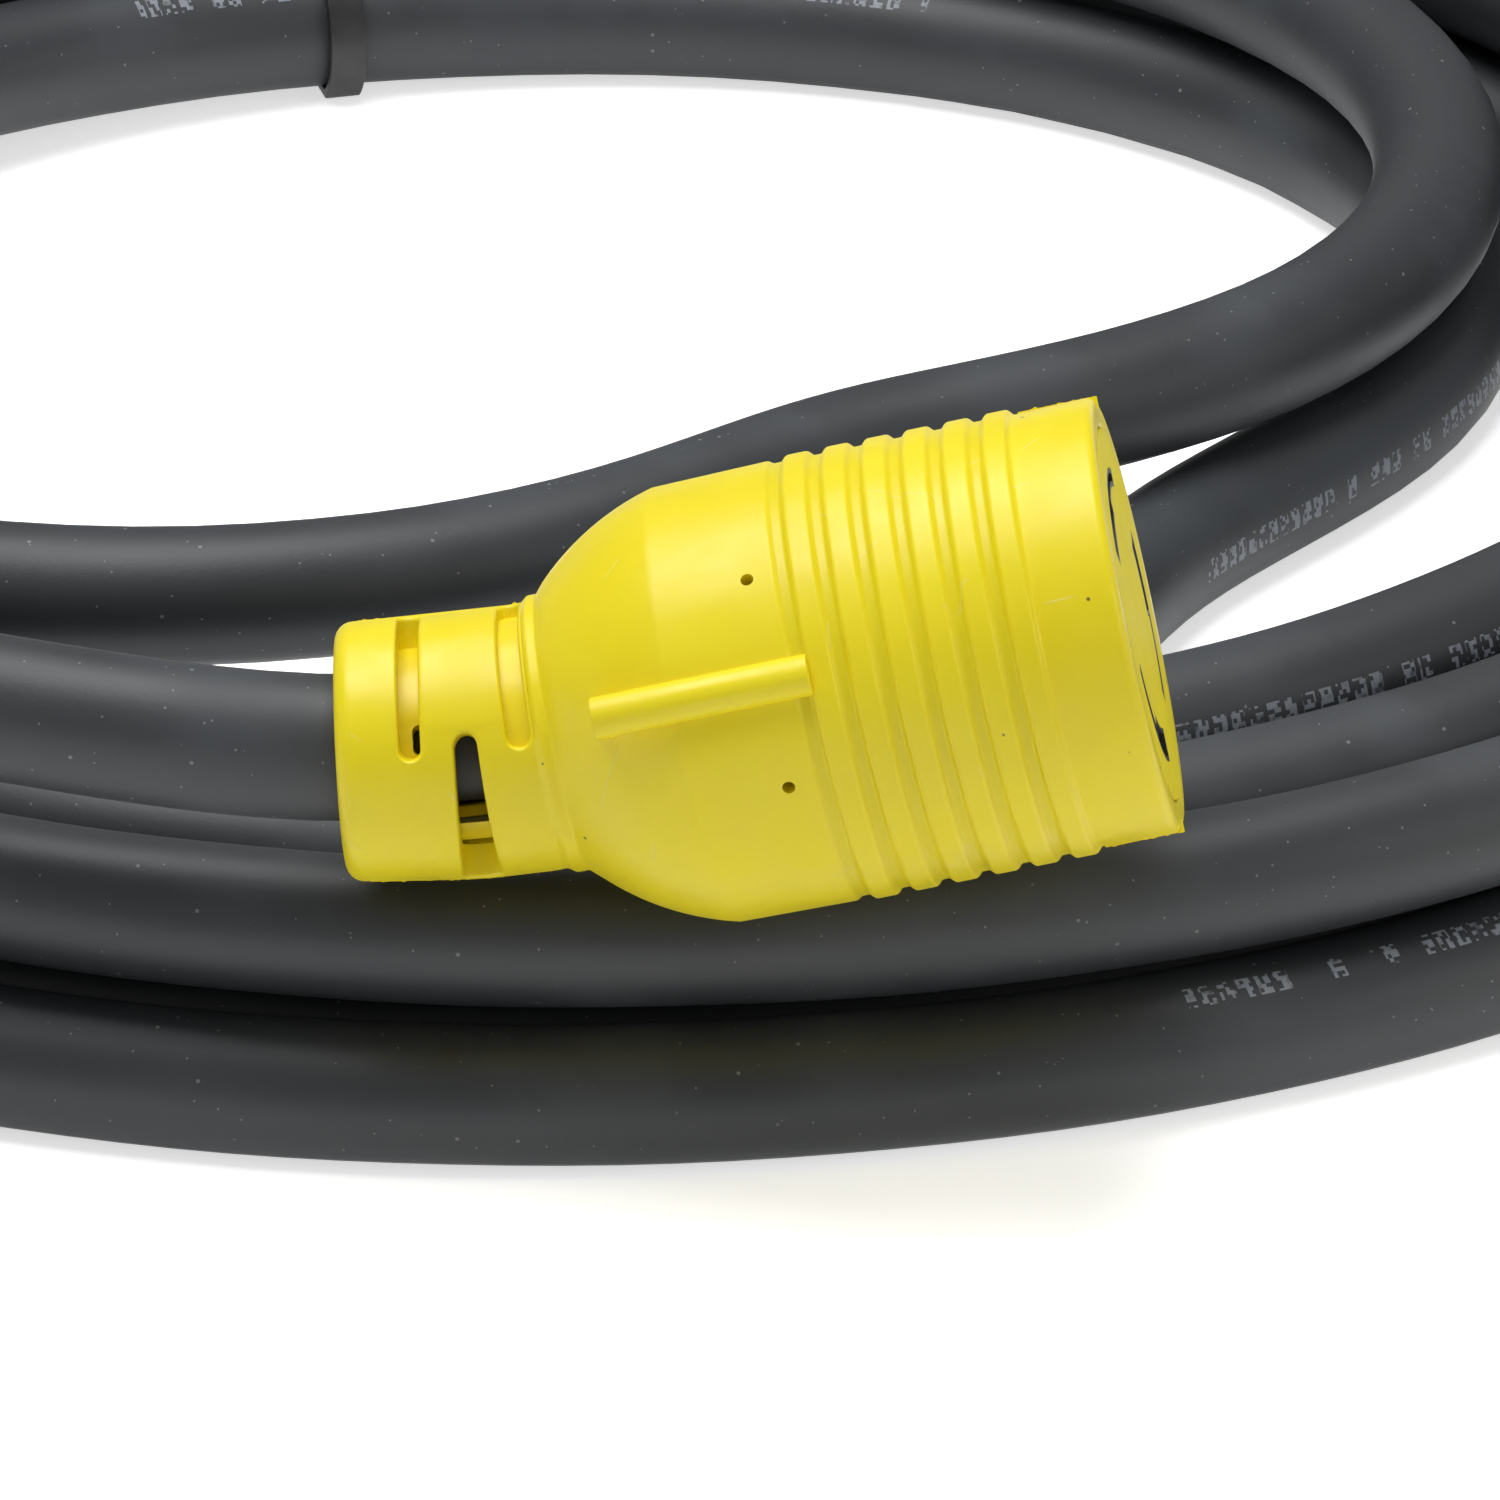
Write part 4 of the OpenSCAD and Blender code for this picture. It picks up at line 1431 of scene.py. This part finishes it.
@dataclass
class Studio:
    """Camera, floor, lights and surroundings."""

    camera_at: Triple = (-0.0264, -1.9627, 0.8779)
    tilt: float = 65.0
    lens: float = 407.2
    floor_glow: float = 0.62
    fill: float = 0.25
    lights: tuple[tuple[str, Triple, Triple, float, float], ...] = (
        ("top", (-0.35, 0.15, 2.2), (0, 0, 0), 1.7, 55),
        ("front", (-1.4, -2.0, 1.3), (0, 0, 0), 1.4, 1.5),
        ("right", (1.9, -0.9, 0.8), (0, -0.2, 0), 1.0, 7),
    )

    def camera(self) -> None:
        """Sets the camera at its viewing angle."""
        data = bpy.data.cameras.new("camera")
        data.lens, data.sensor_width = self.lens, 36
        data.clip_start, data.clip_end = 0.05, 20
        eye = bpy.data.objects.new("camera", data)
        eye.location = self.camera_at
        eye.rotation_euler = (radians(self.tilt), 0, 0)
        bpy.context.scene.collection.objects.link(eye)
        bpy.context.scene.camera = eye

    def light(self, name: str, at: Triple, aim: Triple, size: float, power: float) -> None:
        """Hangs one square soft light.

        Args:
            name: The light's name.
            at: Where it hangs.
            aim: The point that it faces.
            size: Side of its square.
            power: Its power in watts.
        """
        data = bpy.data.lights.new(name, "AREA")
        data.shape, data.size, data.energy = "SQUARE", size, power
        lamp = bpy.data.objects.new(name, data)
        lamp.location = at
        lamp.rotation_euler = (Vector(aim) - Vector(at)).to_track_quat("-Z", "Y").to_euler()
        bpy.context.scene.collection.objects.link(lamp)

    def floor(self) -> None:
        """Lays the pale floor."""
        deselect_all()
        bpy.ops.mesh.primitive_plane_add(size=12, location=(0, 0, -0.0002))
        ground = bpy.context.object
        ground.name = "floor"
        s = Shader("floor_white")
        s.set(Base_Color=(0.86, 0.86, 0.86), Roughness=0.9)
        path = s.node("ShaderNodeLightPath").outputs
        seen = s.math("MAXIMUM", path["Is Camera Ray"], path["Is Glossy Ray"])
        seen = s.math("MAXIMUM", seen, path["Is Transmission Ray"])
        s.set(Emission_Color=(1, 1, 1), Emission_Strength=s.times(seen, self.floor_glow))
        ground.data.materials.append(s.material)

    def world(self) -> None:
        """Sets the pale surroundings."""
        world = bpy.context.scene.world or bpy.data.worlds.new("world")
        bpy.context.scene.world = world
        world.use_nodes = True
        nodes = Nodes(world.node_tree)
        path = nodes.node("ShaderNodeLightPath").outputs
        seen = nodes.math("MAXIMUM", path["Is Camera Ray"], path["Is Transmission Ray"])
        strength = nodes.node("ShaderNodeMapRange", Value=seen, To_Min=self.fill, To_Max=1.0)
        back = nodes.tree.nodes["Background"]
        nodes.feed(back.inputs["Color"], (1, 1, 1))
        nodes.feed(back.inputs["Strength"], strength.outputs["Result"])

    def build(self) -> None:
        """Sets up everything round the object."""
        self.floor()
        self.world()
        for name, at, aim, size, power in self.lights:
            self.light(name, at, aim, size, power)
        bpy.context.scene.view_settings.view_transform = "Standard"


def dress_cad_nodes() -> None:
    """Gives the CAD nodes that stay in view their own finishes."""
    finishes = {
        SLEEVE_VINYL: ["plug_sleeve"],
        FACE_VINYL: ["plug_insert"],
        END_RUBBER: ["plug_jacket_end"],
        # painted shade: the housing block is dark for the shade seen in the face's slots
        SLOT_SHADE_PLASTIC: ["contact_housing"],
        BRASS: ["contact_hot", "contact_neutral", "contact_ground", "blade_hot",
                "blade_neutral", "ground_pin"],
        COPPER: ["connector_conductors", "plug_conductors"],
        SKIN_BLACK: ["connector_wire_black", "plug_wire_black"],
        SKIN_WHITE: ["connector_wire_white", "plug_wire_white"],
        SKIN_GREEN: ["connector_wire_green", "plug_wire_green"],
    }
    for finish, nodes in finishes.items():
        material = finish.make()
        for name in nodes:
            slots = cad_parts[name].data.materials
            slots.clear()
            slots.append(material)


def main() -> None:
    """Builds every piece in order."""
    studio = Studio()
    studio.camera()
    vinyl = VINYL.make()
    pieces = [
        Moulding(EndKind.PLUG, PLUG_PLACE).build("plug_moulding", "plug_body", vinyl),
        Cable().build(),
    ]
    connector = Moulding(
        EndKind.CONNECTOR, CONNECTOR_PLACE, neck_len=25.9, dome_len=15.7, slot_start=8.6,
        slot_pitch=6.7,
    )
    face = ContactFace(connector)
    pieces += [
        connector.build("connector_moulding", "connector_body", vinyl),
        NeckSleeve(connector).build(SLEEVE_VINYL.make()),
        JacketEnd(CONNECTOR_PLACE).build(END_RUBBER.make()),
        face.disc(FACE_VINYL.make()),
        # painted shade: dark linings for the shade inside the face's slots
        face.shade_linings(SLOT_SHADE_PLASTIC.make()),
        CoilTie().build(),
    ]
    for piece in pieces:
        LOG.info("%s: %d faces", piece.name, len(piece.data.polygons))
    dress_cad_nodes()
    studio.build()


if __name__ == "__main__":
    logging.basicConfig(level=logging.INFO, format="%(message)s")
    main()
